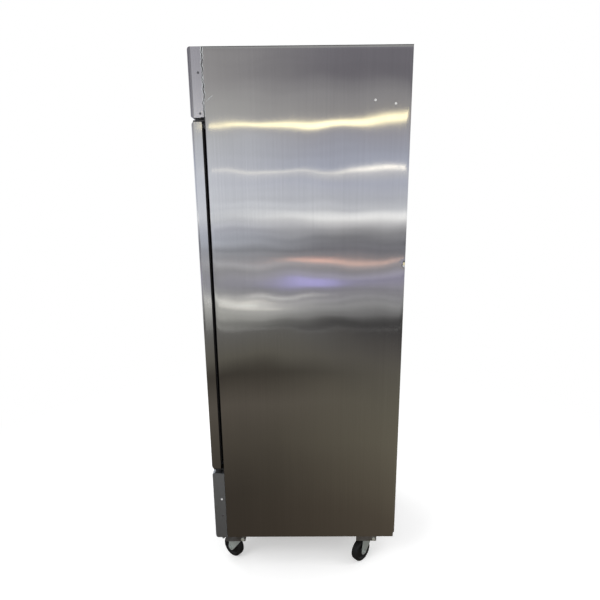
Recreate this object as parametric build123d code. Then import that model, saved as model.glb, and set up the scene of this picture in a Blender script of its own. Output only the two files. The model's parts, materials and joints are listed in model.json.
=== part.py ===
from build123d import *
import os

# Single-door reach-in refrigerator on casters, with its condensing unit below the
# insulated box. Millimetres. +X is the right-hand side for someone who faces the
# door, +Y runs to the back and +Z is up. The origin is on the floor, under the
# centre of the cabinet.

# ---------------------------------------------------------------- driving sizes
WIDTH = 730.0  # cabinet, side to side
DEPTH = 795.0  # front trim to rear trim
RAIL_H = 25.0  # cross rail between casters and cabinet
LOWER_PANEL_H = 315.0
DOOR_GAP_LOW = 22.0
DOOR_H = 1380.0
DOOR_GAP_HIGH = 13.0
HEADER_H = 230.0
FRONT_DEPTH = 54.0  # front trim to the cabinet's front plane
TRIM_PROUD = 1.5  # how far bezels stand out of the sheet metal
DOOR_SKIN_DEPTH = 38.5
DOOR_SIDE_GAP = 2.0

SKIN = 0.8  # outer stainless sheet
LINER_SHEET = 0.7  # inner sheet
BEND = 2.5  # outside radius of a folded cabinet edge
FACE_ROUND = 12.0  # outside radius round door, header and lower panel
FLANGE = 20.0  # folded edge of a side panel
FIT = 0.3  # gap between neighbours that only meet
RUN = 0.05  # radial running clearance of a pin in its bore

GASKET_INSET = 18.0  # door's edge to the gasket
GASKET_W = 22.0
GASKET_LIP = 3.0  # thickness of the gasket's base and magnet strip
STEEL_SEAL = 10.0  # gasket width that lies over steel
BREAKER_W = 25.0
BREAKER_T = 2.0
BREAKER_LIP = 20.0  # how far a breaker strip runs into the box
BACK_WALL = 60.0
TOP_WALL = 60.0
FLOOR_WALL = 68.0
DROP_WALL = 50.0  # insulated wall behind the header

DOOR_PAN_T = 1.2
DOOR_PLUG = 12.0  # raised middle of the door's inner pan
DOOR_PLUG_INSET = 62.0
DOOR_PLUG_ROUND = 5.0

# hinges
HINGE_IN = 20.0  # door's edge to the hinge axis
PIN_R = 5.0
BUSH_R = 9.0
BUSH_DEPTH = 24.0
BUSH_CAP = 1.6
HINGE_T = 4.0
HINGE_LEG = 44.0
HINGE_W = 46.0
HINGE_SCREW_PITCH = 14.0

# recessed door handle
GRIP_W = 62.0
GRIP_H = 300.0
GRIP_DEPTH = 24.0
GRIP_WALL = 2.0
GRIP_FROM_EDGE = 24.0
GRIP_RIM = 5.0
GRIP_HOOK = 16.0

# controller in the header
CONTROL_W = 78.0
CONTROL_H = 38.0
CONTROL_BODY_W = 71.0
CONTROL_BODY_H = 29.0
CONTROL_BODY_D = 44.0
CONTROL_RIM_SHORT = 0.6  # buttons stand this far out of the bezel
BUTTON_W = 9.0
BUTTON_H = 5.0
BUTTON_D = 3.4
BUTTON_TRAVEL = 1.0
BUTTON_GAP = 0.25
BUTTON_PITCH = 8.0
WINDOW_W = 44.0
WINDOW_H = 20.0
WINDOW_D = 1.0

# casters
CASTER_IN = 64.0  # cabinet side to the swivel axis
RAIL_W = 88.0
RAIL_T = 2.0
RAIL_END = 5.0  # rail's end to the cabinet side
FRONT_RAIL_FORWARD = 9.0  # front rail ahead of the cabinet's front plane
REAR_RAIL_FROM_BACK = 77.5
PLATE_X = 84.0
PLATE_Y = 64.0
PLATE_T = 3.0
BOLT_X = 66.0
BOLT_Y = 44.0
BOLT_R = 4.0
BOLT_HOLE_R = 4.3
RACE_R = 28.0
KING_R = 6.0
FORK_T = 3.0
FORK_CROWN_Y = 34.0
FORK_LEG_R = 15.0
TRAIL = 27.0
WHEEL_R = 50.0
WHEEL_HEADROOM = 25.0  # wheel's top to the top of its caster's plate
WHEEL_W = 30.0
HUB_W = 35.0
HUB_R = 15.0
TREAD_ROUND = 6.0
AXLE_R = 5.0
AXLE_NUT = 13.0
NUT_T = 4.5
LEVER_T = 3.6
LEVER_EYE_R = 9.5
LEVER_TIP_R = 5.0
LEVER_RISE = 25.0  # axle up to the lever's tip
PEDAL_GAP = 1.5  # tread to the pedal
PEDAL_T = 4.5
PEDAL_LOW = 18.0
PEDAL_HIGH = 34.0
PEDAL_END = 20.0
FORK_PLAY = 0.8
RACE_GAP = 14.0  # caster plate to the fork's crown
FRONT_SWIVEL = -35.0  # how the casters stand, degrees about +Z
REAR_SWIVEL = 44.0

# shelving
SHELF_COUNT = 3
SHELF_ROD_R = 3.2
WIRE_R = 1.6
BAR_R = 2.6
WELD_SINK = 1.2  # shelf top down to the top of its rim
WIRE_PITCH = 27.0
PILASTER_W = 22.0
PILASTER_D = 9.0
PILASTER_T = 1.2
SLOT_PITCH = 30.0
SHELF_SIDE_GAP = 5.0

# louvers in the lower panel
LOUVER_ROWS = 13
LOUVER_PITCH = 17.0
LOUVER_H = 7.0
LOUVER_L = 270.0
LOUVER_MIDDLE = 24.0

# ---------------------------------------------------------------- shared planes
X_SIDE = WIDTH / 2
Y_FRONT = -DEPTH / 2
Y_FACE = Y_FRONT + TRIM_PROUD
Y_CAB = Y_FRONT + FRONT_DEPTH
Y_REAR = DEPTH / 2 - TRIM_PROUD
Y_DOOR_BACK = Y_FACE + DOOR_SKIN_DEPTH
CASTER_H = 2 * WHEEL_R + WHEEL_HEADROOM
Z_BASE = CASTER_H + RAIL_H
Z_LOWER_TOP = Z_BASE + LOWER_PANEL_H
Z_DOOR_LOW = Z_LOWER_TOP + DOOR_GAP_LOW
Z_DOOR_HIGH = Z_DOOR_LOW + DOOR_H
Z_HEADER_LOW = Z_DOOR_HIGH + DOOR_GAP_HIGH
Z_TOP = Z_HEADER_LOW + HEADER_H
X_DOOR = X_SIDE - DOOR_SIDE_GAP
OPENING_INSET = GASKET_INSET + STEEL_SEAL + BREAKER_W
X_OPEN = X_DOOR - OPENING_INSET
X_STEEL = X_OPEN + BREAKER_W
Z_OPEN_LOW = Z_DOOR_LOW + OPENING_INSET
Z_OPEN_HIGH = Z_DOOR_HIGH - OPENING_INSET
Z_STEEL_LOW = Z_OPEN_LOW - BREAKER_W
Z_STEEL_HIGH = Z_OPEN_HIGH + BREAKER_W
Z_DECK = Z_OPEN_LOW - FLOOR_WALL
Z_CEILING = Z_TOP - TOP_WALL
Y_BOX_BACK = Y_REAR - BACK_WALL
Y_DROP = Y_CAB + DROP_WALL
X_HINGE = X_DOOR - HINGE_IN
Y_HINGE = (Y_FACE + Y_DOOR_BACK) / 2
Z_HINGE_HIGH = Z_DOOR_HIGH + BUSH_CAP + FIT
Z_HINGE_LOW = Z_DOOR_LOW - BUSH_CAP - FIT - HINGE_T
X_CASTER = X_SIDE - CASTER_IN
Y_RAIL_FRONT = Y_CAB - FRONT_RAIL_FORWARD + RAIL_W / 2
Y_RAIL_REAR = Y_REAR - REAR_RAIL_FROM_BACK - RAIL_W / 2
BASE_PAN_T = 1.2
Z_PAN = Z_BASE + SKIN
Z_UNIT = Z_PAN + BASE_PAN_T
UNIT_T = 1.5
Z_UNIT_DECK = Z_UNIT + UNIT_T
X_PILASTER = X_OPEN - PILASTER_D
PILASTER_Y = (Y_CAB + 75.0, Y_BOX_BACK - 68.0)
X_SHELF = X_PILASTER - SHELF_SIDE_GAP
Y_SHELF_FRONT = Y_CAB + 38.0
Y_SHELF_BACK = Y_BOX_BACK - 12.0


def block(x0, x1, y0, y1, z0, z1):
    """A box between three pairs of planes."""
    middle = Pos((x0 + x1) / 2, (y0 + y1) / 2, (z0 + z1) / 2)
    return middle * Box(abs(x1 - x0), abs(y1 - y0), abs(z1 - z0))


def rod_x(radius, x0, x1, y, z):
    """A round bar along X."""
    return Pos((x0 + x1) / 2, y, z) * Rot(0, 90, 0) * Cylinder(radius, abs(x1 - x0))


def rod_y(radius, x, y0, y1, z):
    """A round bar along Y."""
    return Pos(x, (y0 + y1) / 2, z) * Rot(90, 0, 0) * Cylinder(radius, abs(y1 - y0))


def rod_z(radius, x, y, z0, z1):
    """A round bar along Z."""
    return Pos(x, y, (z0 + z1) / 2) * Cylinder(radius, abs(z1 - z0))


def hex_z(across, x, y, z0, z1):
    """A hexagonal prism along Z, by its width across flats."""
    sketch = RegularPolygon(across / 2, 6, major_radius=False)
    return Pos(x, y, z0) * extrude(sketch, z1 - z0)


def front_tray(x0, x1, y_face, y_back, z0, z1, radius, sheet):
    """A folded sheet pan that faces -Y, round at its front edges and open behind."""
    outer = block(x0, x1, y_face, y_back, z0, z1)
    outer = fillet(outer.edges().group_by(Axis.Y)[0], radius)
    inner = block(x0 + sheet, x1 - sheet, y_face + sheet, y_back + sheet, z0 + sheet, z1 - sheet)
    inner = fillet(inner.edges().group_by(Axis.Y)[0], radius - sheet)
    return outer - inner


def mirrored(shape):
    """The same shape on the other side of the cabinet."""
    return mirror(shape, about=Plane.YZ)


def group(shapes):
    """Several separate solids as one part."""
    return Compound(children=[s for shape in shapes for s in shape.solids()])


# ---------------------------------------------------------------- cabinet shell
SIDE_SCREWS = ((Y_REAR - 129.0, Z_TOP - 177.0), (Y_REAR - 56.0, Z_TOP - 189.0))
CORNER_NOTCH_Y = 5.5
CORNER_NOTCH_Z = 23.0
CUT = 1.0  # how far a cutting shape runs past the face it opens
EXHAUST_COLUMNS = range(-6, 7)
EXHAUST_PITCH = 38.0
EXHAUST_ROWS = (115.0, 235.0)  # slot middles over the cabinet's bottom
EXHAUST_SLOT = (90.0, 9.0)
VENT_COLUMNS = range(-5, 6)
VENT_ROWS = range(4)
VENT_PITCH = (26.0, 80.0)
VENT_SLOT = (60.0, 8.0)
VENT_FRONT_Y = -70.0  # middle of the front row


def side_panel():
    """Right-hand outer panel: one sheet, folded in at all four edges."""
    z_high = Z_TOP - SKIN
    outer = block(X_SIDE - FLANGE, X_SIDE, Y_CAB, Y_REAR, Z_BASE, z_high)
    outer = fillet(outer.edges().group_by(Axis.X)[-1], BEND)
    inner = block(
        X_SIDE - FLANGE - SKIN, X_SIDE - SKIN, Y_CAB + SKIN, Y_REAR - SKIN, Z_BASE + SKIN, z_high - SKIN
    )
    inner = fillet(inner.edges().group_by(Axis.X)[-1], BEND - SKIN)
    seal = block(X_STEEL, X_SIDE - FLANGE, Y_CAB, Y_CAB + SKIN, Z_BASE, z_high)
    y_notch, z_notch = Y_REAR - CORNER_NOTCH_Y, Z_BASE + CORNER_NOTCH_Z
    notch = block(X_STEEL, X_SIDE + SKIN, y_notch, Y_REAR + SKIN, 0, z_notch)
    holes = [rod_x(SCREW_R + RUN, X_SIDE - BEND, X_SIDE + BEND, y, z) for y, z in SIDE_SCREWS]
    return outer - inner + seal - notch - holes - hinge_screw_holes(1)


def top_panel():
    """Top sheet with an apron folded down behind the header."""
    top = block(-X_SIDE, X_SIDE, Y_CAB, Y_REAR, Z_TOP - SKIN, Z_TOP)
    x = X_STEEL - FIT
    apron = block(-x, x, Y_CAB, Y_CAB + SKIN, Z_STEEL_HIGH, Z_TOP - SKIN)
    return top + apron


def back_panel():
    """Back sheet, with exhaust slots and the cord's hole at the condensing unit."""
    x = X_SIDE - FLANGE - FIT
    sheet = block(-x, x, Y_REAR - SKIN, Y_REAR, Z_BASE + SKIN, Z_TOP - SKIN)
    hole = extrude(SlotOverall(*EXHAUST_SLOT, rotation=90), SKIN + 2 * CUT)
    slots = []
    for column in EXHAUST_COLUMNS:
        for rise in EXHAUST_ROWS:
            slots.append(Pos(column * EXHAUST_PITCH, Y_REAR + CUT, Z_BASE + rise) * Rot(90, 0, 0) * hole)
    return sheet - slots - rod_y(GLAND_R + RUN, GLAND_X, Y_REAR - SKIN - CUT, Y_REAR + CUT, GLAND_Z)


def deck_panel():
    """Sheet under the insulated floor, with a sill folded up at the front."""
    x = X_SIDE - BEND - FIT
    sheet = block(-x, x, Y_CAB + BEND + FIT, Y_REAR - BEND - FIT, Z_DECK, Z_DECK + SKIN)
    neck = block(-X_STEEL + FIT, X_STEEL - FIT, Y_CAB, Y_CAB + BEND + FIT, Z_DECK, Z_DECK + SKIN)
    sill = block(-X_STEEL + FIT, X_STEEL - FIT, Y_CAB, Y_CAB + SKIN, Z_DECK, Z_STEEL_LOW)
    chase = block(*CHASE_X, *CHASE_Y, Z_DECK - CUT, Z_DECK + SKIN + CUT)
    return sheet + neck + sill - chase


def base_pan():
    """Bottom sheet that carries the condensing unit and stands on the rails."""
    x = X_SIDE - BEND - FIT
    y0, y1 = Y_CAB + BEND + FIT, Y_REAR - CORNER_NOTCH_Y - FIT
    pan = block(-x, x, y0, y1, Z_PAN, Z_PAN + BASE_PAN_T)
    hole = extrude(SlotOverall(*VENT_SLOT, rotation=90), BASE_PAN_T + 2 * CUT)
    vents = []
    for row in VENT_ROWS:
        for column in VENT_COLUMNS:
            y = VENT_FRONT_Y + row * VENT_PITCH[1]
            vents.append(Pos(column * VENT_PITCH[0], y, Z_PAN - CUT) * hole)
    return pan - vents


def breaker_strips():
    """Four plastic strips that cover the box's front edge inside the gasket."""
    y0, y1, y2 = Y_CAB, Y_CAB + BREAKER_T, Y_CAB + BREAKER_LIP
    t = BREAKER_T
    x_out = X_STEEL - FIT
    upright = block(X_OPEN, x_out, y0, y1, Z_OPEN_LOW, Z_OPEN_HIGH)
    upright += block(X_OPEN, X_OPEN + t, y0, y2, Z_OPEN_LOW, Z_OPEN_HIGH)
    low = block(-x_out, x_out, y0, y1, Z_STEEL_LOW + FIT, Z_OPEN_LOW - FIT)
    low += block(-X_OPEN, X_OPEN, y0, y2, Z_OPEN_LOW - t - FIT, Z_OPEN_LOW - FIT)
    high = block(-x_out, x_out, y0, y1, Z_OPEN_HIGH + FIT, Z_STEEL_HIGH - FIT)
    high += block(-X_OPEN, X_OPEN, y0, y2, Z_OPEN_HIGH + FIT, Z_OPEN_HIGH + t + FIT)
    return group([upright, mirrored(upright), low, high])


# ---------------------------------------------------------------- inner box
CHASE_X = (-75.0, -15.0)
CHASE_Y = (Y_BOX_BACK + 12.0, Y_REAR - 12.0)
LINE_HOLE_Z = Z_CEILING - 95.0
LINE_X = (-62.0, -45.0, -28.0)  # suction line, capillary, drain
LINE_Y = (CHASE_Y[0] + CHASE_Y[1]) / 2
SUCTION_R = 4.8
SUCTION_BEND = 13.0
CAPILLARY_R = 1.8
CAPILLARY_BEND = 9.0
DISCHARGE_R = 3.2
DISCHARGE_BEND = 12.0
DRIER_R = 9.5
DRAIN_R = 5.5
DRAIN_BEND = 13.0
Z_DRAIN = Z_CEILING - 187.0
LINE_HOLES = (
    (LINE_X[0], LINE_HOLE_Z, SUCTION_R + FIT),
    (LINE_X[1], LINE_HOLE_Z, CAPILLARY_R + FIT),
    (LINE_X[2], Z_DRAIN, DRAIN_R + FIT),
)
LINE_ROOM = 2.0  # room round a line where it runs in the foam or the cover
CHASE_RISE = 14.0  # chase's top over the lines' holes


def liner_walls():
    """Inner sheets at the left, the right, the floor and the back."""
    y0, t = Y_CAB + BREAKER_LIP + FIT, LINER_SHEET
    wall = block(X_OPEN, X_OPEN + t, y0, Y_BOX_BACK, Z_OPEN_LOW, Z_OPEN_HIGH + t)
    wall += block(X_OPEN, X_OPEN + t, Y_DROP - t, Y_BOX_BACK, Z_OPEN_LOW, Z_CEILING)
    x = X_OPEN + t
    floor = block(-x, x, y0, Y_BOX_BACK, Z_OPEN_LOW - t, Z_OPEN_LOW)
    back = block(-x, x, Y_BOX_BACK, Y_BOX_BACK + t, Z_OPEN_LOW - t, Z_CEILING)
    back -= [rod_y(r, x, Y_BOX_BACK - CUT, Y_BOX_BACK + t + CUT, z) for x, z, r in LINE_HOLES]
    return group([wall, mirrored(wall), floor, back])


def liner_ceiling():
    """Inner top sheet, folded down behind the header and forward to the opening."""
    x_wide = X_OPEN + LINER_SHEET
    x = X_OPEN - FIT
    t = LINER_SHEET
    y_back = Y_BOX_BACK + t
    top = block(-x_wide, x_wide, Y_DROP - t, y_back, Z_CEILING, Z_CEILING + t)
    drop = block(-x, x, Y_DROP - t, Y_DROP, Z_OPEN_HIGH, Z_CEILING)
    lip = block(-x, x, Y_CAB + BREAKER_LIP + FIT, Y_DROP, Z_OPEN_HIGH, Z_OPEN_HIGH + t)
    return top + drop + lip


def insulation():
    """Foam that fills the walls between skin and liner, in one pour."""
    x_out, z_out = X_SIDE - SKIN, Z_TOP - 2 * SKIN
    outer = block(-x_out, x_out, Y_CAB + BREAKER_T, Y_REAR - SKIN, Z_DECK + SKIN, z_out)
    lengthwise = outer.edges().filter_by(Axis.Y).group_by(Axis.Z)[-1]
    outer = fillet(lengthwise + outer.edges().filter_by(Axis.Z), BEND)
    t = LINER_SHEET
    x_in = X_OPEN + t
    room = block(-x_in, x_in, Y_CAB - CUT, Y_BOX_BACK + t, Z_OPEN_LOW - t, Z_OPEN_HIGH + t)
    room += block(-x_in, x_in, Y_DROP - t, Y_BOX_BACK + t, Z_OPEN_LOW, Z_CEILING + t)
    x_lip, z_lip = X_OPEN + BREAKER_T, BREAKER_T + FIT
    z0, z1 = Z_OPEN_LOW - z_lip, Z_OPEN_HIGH + z_lip
    lip = block(-x_lip, x_lip, Y_CAB - CUT, Y_CAB + BREAKER_LIP + FIT, z0, z1)
    chase = block(*CHASE_X, *CHASE_Y, Z_DECK, LINE_HOLE_Z + CHASE_RISE)
    ways = [rod_y(r + LINE_ROOM, x, Y_BOX_BACK, CHASE_Y[0] + CUT, z) for x, z, r in LINE_HOLES]
    pockets = [
        rod_x(SCREW_R + FIT, side * (X_SIDE - SCREW_LENGTH - CUT), side * X_SIDE, y, z)
        for y, z in SIDE_SCREWS
        for side in (-1, 1)
    ]
    pockets += hinge_screw_holes(1) + hinge_screw_holes(-1)
    return outer - room - lip - chase - ways - pockets


# ---------------------------------------------------------------- front panels
SCREW_R = 2.0
SCREW_HEAD_R = 4.2
SCREW_HEAD_H = 1.3
SCREW_LENGTH = 8.0
BRACKET_T = 1.5
BRACKET_LEG = 26.0
HEADER_SCREW_Z = (Z_TOP - 83.0, Z_TOP - 216.0)
LOWER_SCREW_Z = (Z_LOWER_TOP - 125.0, Z_LOWER_TOP - 205.0)
SIDE_SCREW_Y = Y_FRONT + 38.5
HEAD_ROUND = 0.7  # screw head's rounding, as a share of its height
SLIT_MARGIN = 2.0  # room beside a hinge bracket's leg
SLIT_Y = Y_HINGE + BUSH_R + 9.0
BLADE_REACH = 3.0  # louver blade's run past its slot's height
BRACKET_END_GAP = 12.0  # hinge leg to the next bracket
BRACKET_TOP_GAP = 20.0
BRACKET_BASE_GAP = 15.0


def side_screw_holes(levels):
    """Screw holes through both sides of a front panel."""
    spans = ((X_SIDE - SCREW_LENGTH, X_SIDE + CUT), (-X_SIDE - CUT, -X_SIDE + SCREW_LENGTH))
    return [rod_x(SCREW_R + RUN, a, b, SIDE_SCREW_Y, z) for z in levels for a, b in spans]


def hinge_slit(z0, z1):
    """Opening in a front panel's edge for a hinge bracket's leg."""
    x0, x1 = X_HINGE - HINGE_W / 2 - SLIT_MARGIN, X_HINGE + HINGE_W / 2
    return block(x0, x1, SLIT_Y, Y_CAB, z0, z1)


def header_panel():
    """Panel above the door, with the controller's cut-out."""
    tray = front_tray(-X_SIDE, X_SIDE, Y_FACE, Y_CAB - FIT, Z_HEADER_LOW, Z_TOP, FACE_ROUND, SKIN)
    z = (Z_HEADER_LOW + Z_TOP) / 2
    w, h = CONTROL_BODY_W / 2 + FIT, CONTROL_BODY_H / 2 + FIT
    window = block(-w, w, Y_FACE - CUT, Y_FACE + SKIN + CUT, z - h, z + h)
    slit = hinge_slit(Z_HEADER_LOW - CUT, Z_HEADER_LOW + SKIN + CUT)
    return tray - window - slit - side_screw_holes(HEADER_SCREW_Z)


def louver_blades():
    """Slanted blades behind the lower panel's slots, and the slots themselves."""
    z_mid = (Z_BASE + Z_LOWER_TOP) / 2
    reach = LOUVER_H + BLADE_REACH
    half = LOUVER_L / 2 - LOUVER_H / 2
    hole = extrude(SlotOverall(LOUVER_L, LOUVER_H), SKIN + 3 * CUT)
    slots, blades = [], []
    for row in range(LOUVER_ROWS):
        z = z_mid + (row - (LOUVER_ROWS - 1) / 2) * LOUVER_PITCH
        for side in (-1, 1):
            x = side * (LOUVER_L + LOUVER_MIDDLE) / 2
            slots.append(Pos(x, Y_FACE + 2 * CUT, z) * Rot(90, 0, 0) * hole)
            y0, y1 = Y_FACE + SKIN / 2, Y_FACE + SKIN / 2 + reach
            high, low = z + LOUVER_H / 2, z + LOUVER_H / 2 - reach
            edge = Polyline((0, y0, high), (0, y0, high + SKIN), (0, y1, low + SKIN), (0, y1, low), close=True)
            profile = make_face(edge)
            blades.append(Pos(x - half, 0, 0) * extrude(profile, 2 * half, dir=(1, 0, 0)))
    return slots, blades


def lower_grille():
    """Louvered panel in front of the condensing unit."""
    tray = front_tray(-X_SIDE, X_SIDE, Y_FACE, Y_CAB - FIT, Z_BASE, Z_LOWER_TOP, FACE_ROUND, SKIN)
    slots, blades = louver_blades()
    slit = hinge_slit(Z_LOWER_TOP - SKIN - CUT, Z_LOWER_TOP + CUT)
    return tray - slots + blades - slit - side_screw_holes(LOWER_SCREW_Z)


def panel_brackets():
    """Four angles on the cabinet's front that the header and lower panel screw to."""
    x = X_SIDE - SKIN - FIT
    past_hinge = HINGE_LEG + BRACKET_END_GAP
    high = (Z_HEADER_LOW + past_hinge, Z_TOP - BRACKET_TOP_GAP)
    low = (Z_BASE + BRACKET_BASE_GAP, Z_LOWER_TOP - past_hinge)
    found = []
    for z0, z1 in (high, low):
        foot = block(x - BRACKET_LEG, x, Y_CAB - BRACKET_T, Y_CAB, z0, z1)
        arm = block(x - BRACKET_T, x, Y_CAB - BRACKET_LEG, Y_CAB, z0, z1)
        angle = foot + arm - side_screw_holes(HEADER_SCREW_Z + LOWER_SCREW_Z)
        found += [angle, mirrored(angle)]
    return group(found)


def panel_screws():
    """Pan-head screws in the sides of the header, the lower panel and the cabinet."""
    found = []
    spots = [(SIDE_SCREW_Y, z) for z in HEADER_SCREW_Z + LOWER_SCREW_Z]
    for y, z in spots + list(SIDE_SCREWS):
        shank = rod_x(SCREW_R, X_SIDE - SCREW_LENGTH, X_SIDE, y, z)
        head = rod_x(SCREW_HEAD_R, X_SIDE, X_SIDE + SCREW_HEAD_H, y, z)
        head = fillet(head.edges().group_by(Axis.X)[-1], SCREW_HEAD_H * HEAD_ROUND)
        found += [shank + head, mirrored(shank + head)]
    y = Y_CAB - HINGE_T
    for x, z in hinge_screw_spots():
        head = rod_y(SCREW_HEAD_R, x, y - SCREW_HEAD_H, y, z)
        head = fillet(head.edges().group_by(Axis.Y)[0], SCREW_HEAD_H * HEAD_ROUND)
        found.append(head + rod_y(SCREW_R, x, y, y + SCREW_LENGTH, z))
    return group(found)


# ---------------------------------------------------------------- controller
Z_CONTROL = (Z_HEADER_LOW + Z_TOP) / 2
CONTROL_ROUND = 3.0
WINDOW_FROM_EDGE = 7.0
BUTTON_X = CONTROL_W / 2 - 11.0
BUTTON_ROUND = 0.4
POCKET_SPARE = 0.5  # pocket depth past the button's travel
BUTTON_NAMES = ("button_up", "button_set", "button_down")


def controller():
    """Thermostat module: bezel, window recess, button pockets and body."""
    y_rim = Y_FRONT + CONTROL_RIM_SHORT
    w, h = CONTROL_W / 2, CONTROL_H / 2
    rim = block(-w, w, y_rim, Y_FACE, Z_CONTROL - h, Z_CONTROL + h)
    rim = fillet(rim.edges().filter_by(Axis.Y), CONTROL_ROUND)
    bw, bh = CONTROL_BODY_W / 2, CONTROL_BODY_H / 2
    body = block(-bw, bw, Y_FACE, Y_FACE + CONTROL_BODY_D, Z_CONTROL - bh, Z_CONTROL + bh)
    x0 = -w + WINDOW_FROM_EDGE
    z0, z1 = Z_CONTROL - WINDOW_H / 2, Z_CONTROL + WINDOW_H / 2
    window = block(x0, x0 + WINDOW_W, y_rim - CUT, y_rim + WINDOW_D, z0, z1)
    deeper = BUTTON_TRAVEL + POCKET_SPARE
    pockets = [button_block(i, BUTTON_GAP, deeper) for i in range(len(BUTTON_NAMES))]
    return rim + body - window - pockets


def button_block(index, margin, deeper):
    """One button, or with a margin the pocket that it slides in."""
    z = Z_CONTROL + (1 - index) * BUTTON_PITCH
    w, h = BUTTON_W / 2 + margin, BUTTON_H / 2 + margin
    return block(BUTTON_X - w, BUTTON_X + w, Y_FRONT, Y_FRONT + BUTTON_D + deeper, z - h, z + h)


# ---------------------------------------------------------------- door
GRIP_X0 = -X_DOOR + GRIP_FROM_EDGE
GRIP_Z0 = (Z_DOOR_LOW + Z_DOOR_HIGH) / 2 - GRIP_H / 2
GRIP_ROUND = 7.0
GRIP_CHAMFER = 0.9
GASKET_NECK = 4.84  # gasket's edge to its bellows
BUSH_FLOOR = 3.0  # closed end of a bush's bore
PIN_SHORT = 5.0  # hinge pin's tip to the end of its bush
CAP_OVER = 3.0  # bush cap's rim round the bush
HINGE_SCREW_EDGE = 7.0  # steel's inner edge to the first row of hinge screws
HIGH_HINGE_SCREWS = (19.0, 36.0)
LOW_HINGE_SCREWS = (21.0, 35.0)
ARM_NOSE = 4.0  # hinge arm's front edge past the bush
ARM_ROUND = 10.0


def grip_space():
    """The handle's pocket in the door."""
    x1, z1 = GRIP_X0 + GRIP_W, GRIP_Z0 + GRIP_H
    return block(GRIP_X0, x1, Y_FACE - CUT, Y_FACE + GRIP_DEPTH, GRIP_Z0, z1)


def bush_holes():
    """Round pockets for the hinge bushes at the door's top and bottom."""
    r, deep = BUSH_R + RUN, BUSH_DEPTH + FIT
    low = rod_z(r, X_HINGE, Y_HINGE, Z_DOOR_LOW - CUT, Z_DOOR_LOW + deep)
    high = rod_z(r, X_HINGE, Y_HINGE, Z_DOOR_HIGH - deep, Z_DOOR_HIGH + CUT)
    return [low, high]


def door_skin():
    """Outer door pan."""
    tray = front_tray(-X_DOOR, X_DOOR, Y_FACE, Y_DOOR_BACK, Z_DOOR_LOW, Z_DOOR_HIGH, FACE_ROUND, SKIN)
    return tray - grip_space() - bush_holes()


def door_core():
    """Foam inside the door."""
    x, z0, z1 = X_DOOR - SKIN, Z_DOOR_LOW + SKIN, Z_DOOR_HIGH - SKIN
    foam = block(-x, x, Y_FACE + SKIN, Y_DOOR_BACK, z0, z1)
    foam = fillet(foam.edges().group_by(Axis.Y)[0], FACE_ROUND - SKIN)
    i, y1 = DOOR_PLUG_INSET + DOOR_PAN_T, Y_DOOR_BACK + DOOR_PLUG - DOOR_PAN_T
    plug = block(-X_DOOR + i, X_DOOR - i, Y_DOOR_BACK, y1, Z_DOOR_LOW + i, Z_DOOR_HIGH - i)
    plug = fillet(plug.edges().group_by(Axis.Y)[-1], DOOR_PLUG_ROUND - DOOR_PAN_T)
    return foam + plug - grip_space() - bush_holes()


def door_inner_pan():
    """Inner door sheet with its raised middle."""
    t, i = DOOR_PAN_T, DOOR_PLUG_INSET
    y0, y1 = Y_DOOR_BACK, Y_DOOR_BACK + DOOR_PLUG
    sheet = block(-X_DOOR, X_DOOR, y0, y0 + t, Z_DOOR_LOW, Z_DOOR_HIGH)
    plug = block(-X_DOOR + i, X_DOOR - i, y0, y1, Z_DOOR_LOW + i, Z_DOOR_HIGH - i)
    plug = fillet(plug.edges().group_by(Axis.Y)[-1], DOOR_PLUG_ROUND)
    k = i + t
    hollow = block(-X_DOOR + k, X_DOOR - k, y0 - CUT, y1 - t, Z_DOOR_LOW + k, Z_DOOR_HIGH - k)
    hollow = fillet(hollow.edges().group_by(Axis.Y)[-1], DOOR_PLUG_ROUND - t)
    return sheet + plug - hollow


def door_gasket():
    """Magnetic gasket: four lengths with a base, a bellows and a magnet bulb."""
    y0 = Y_DOOR_BACK + DOOR_PAN_T
    y1 = Y_CAB - FIT
    x_out, x_in = X_DOOR - GASKET_INSET, X_DOOR - GASKET_INSET - GASKET_W
    z_low, z_high = Z_DOOR_LOW + GASKET_INSET, Z_DOOR_HIGH - GASKET_INSET
    upright = block(x_in, x_out, y0, y0 + GASKET_LIP, z_low, z_high)
    upright += block(x_in, x_out, y1 - GASKET_LIP, y1, z_low, z_high)
    upright += block(x_in + GASKET_NECK, x_out - GASKET_NECK, y0, y1, z_low, z_high)
    x = x_in
    found = [upright, mirrored(upright)]
    for a, b in ((z_low, z_low + GASKET_W), (z_high - GASKET_W, z_high)):
        bar = block(-x, x, y0, y0 + GASKET_LIP, a, b)
        bar += block(-x, x, y1 - GASKET_LIP, y1, a, b)
        bar += block(-x, x, y0, y1, a + GASKET_NECK, b - GASKET_NECK)
        found.append(bar)
    return group(found)


def door_handle():
    """Recessed pull: a cup with a flat rim and a hooked lip to pull on."""
    x0, x1 = GRIP_X0, GRIP_X0 + GRIP_W
    z0, z1 = GRIP_Z0, GRIP_Z0 + GRIP_H
    r, w = GRIP_RIM, GRIP_WALL
    rim = block(x0 - r, x1 + r, Y_FRONT, Y_FACE, z0 - r, z1 + r)
    rim = fillet(rim.edges().filter_by(Axis.Y), GRIP_ROUND)
    rim = chamfer(rim.edges().group_by(Axis.Y)[0], GRIP_CHAMFER)
    cup = block(x0, x1, Y_FACE, Y_FACE + GRIP_DEPTH, z0, z1)
    space = block(x0 + w, x1 - w, Y_FRONT - CUT, Y_FACE + GRIP_DEPTH - w, z0 + w, z1 - w)
    hook = block(x0 + w, x0 + GRIP_HOOK, Y_FRONT, Y_FRONT + w, z0 + w, z1 - w)
    return rim + cup - space + hook


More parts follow.
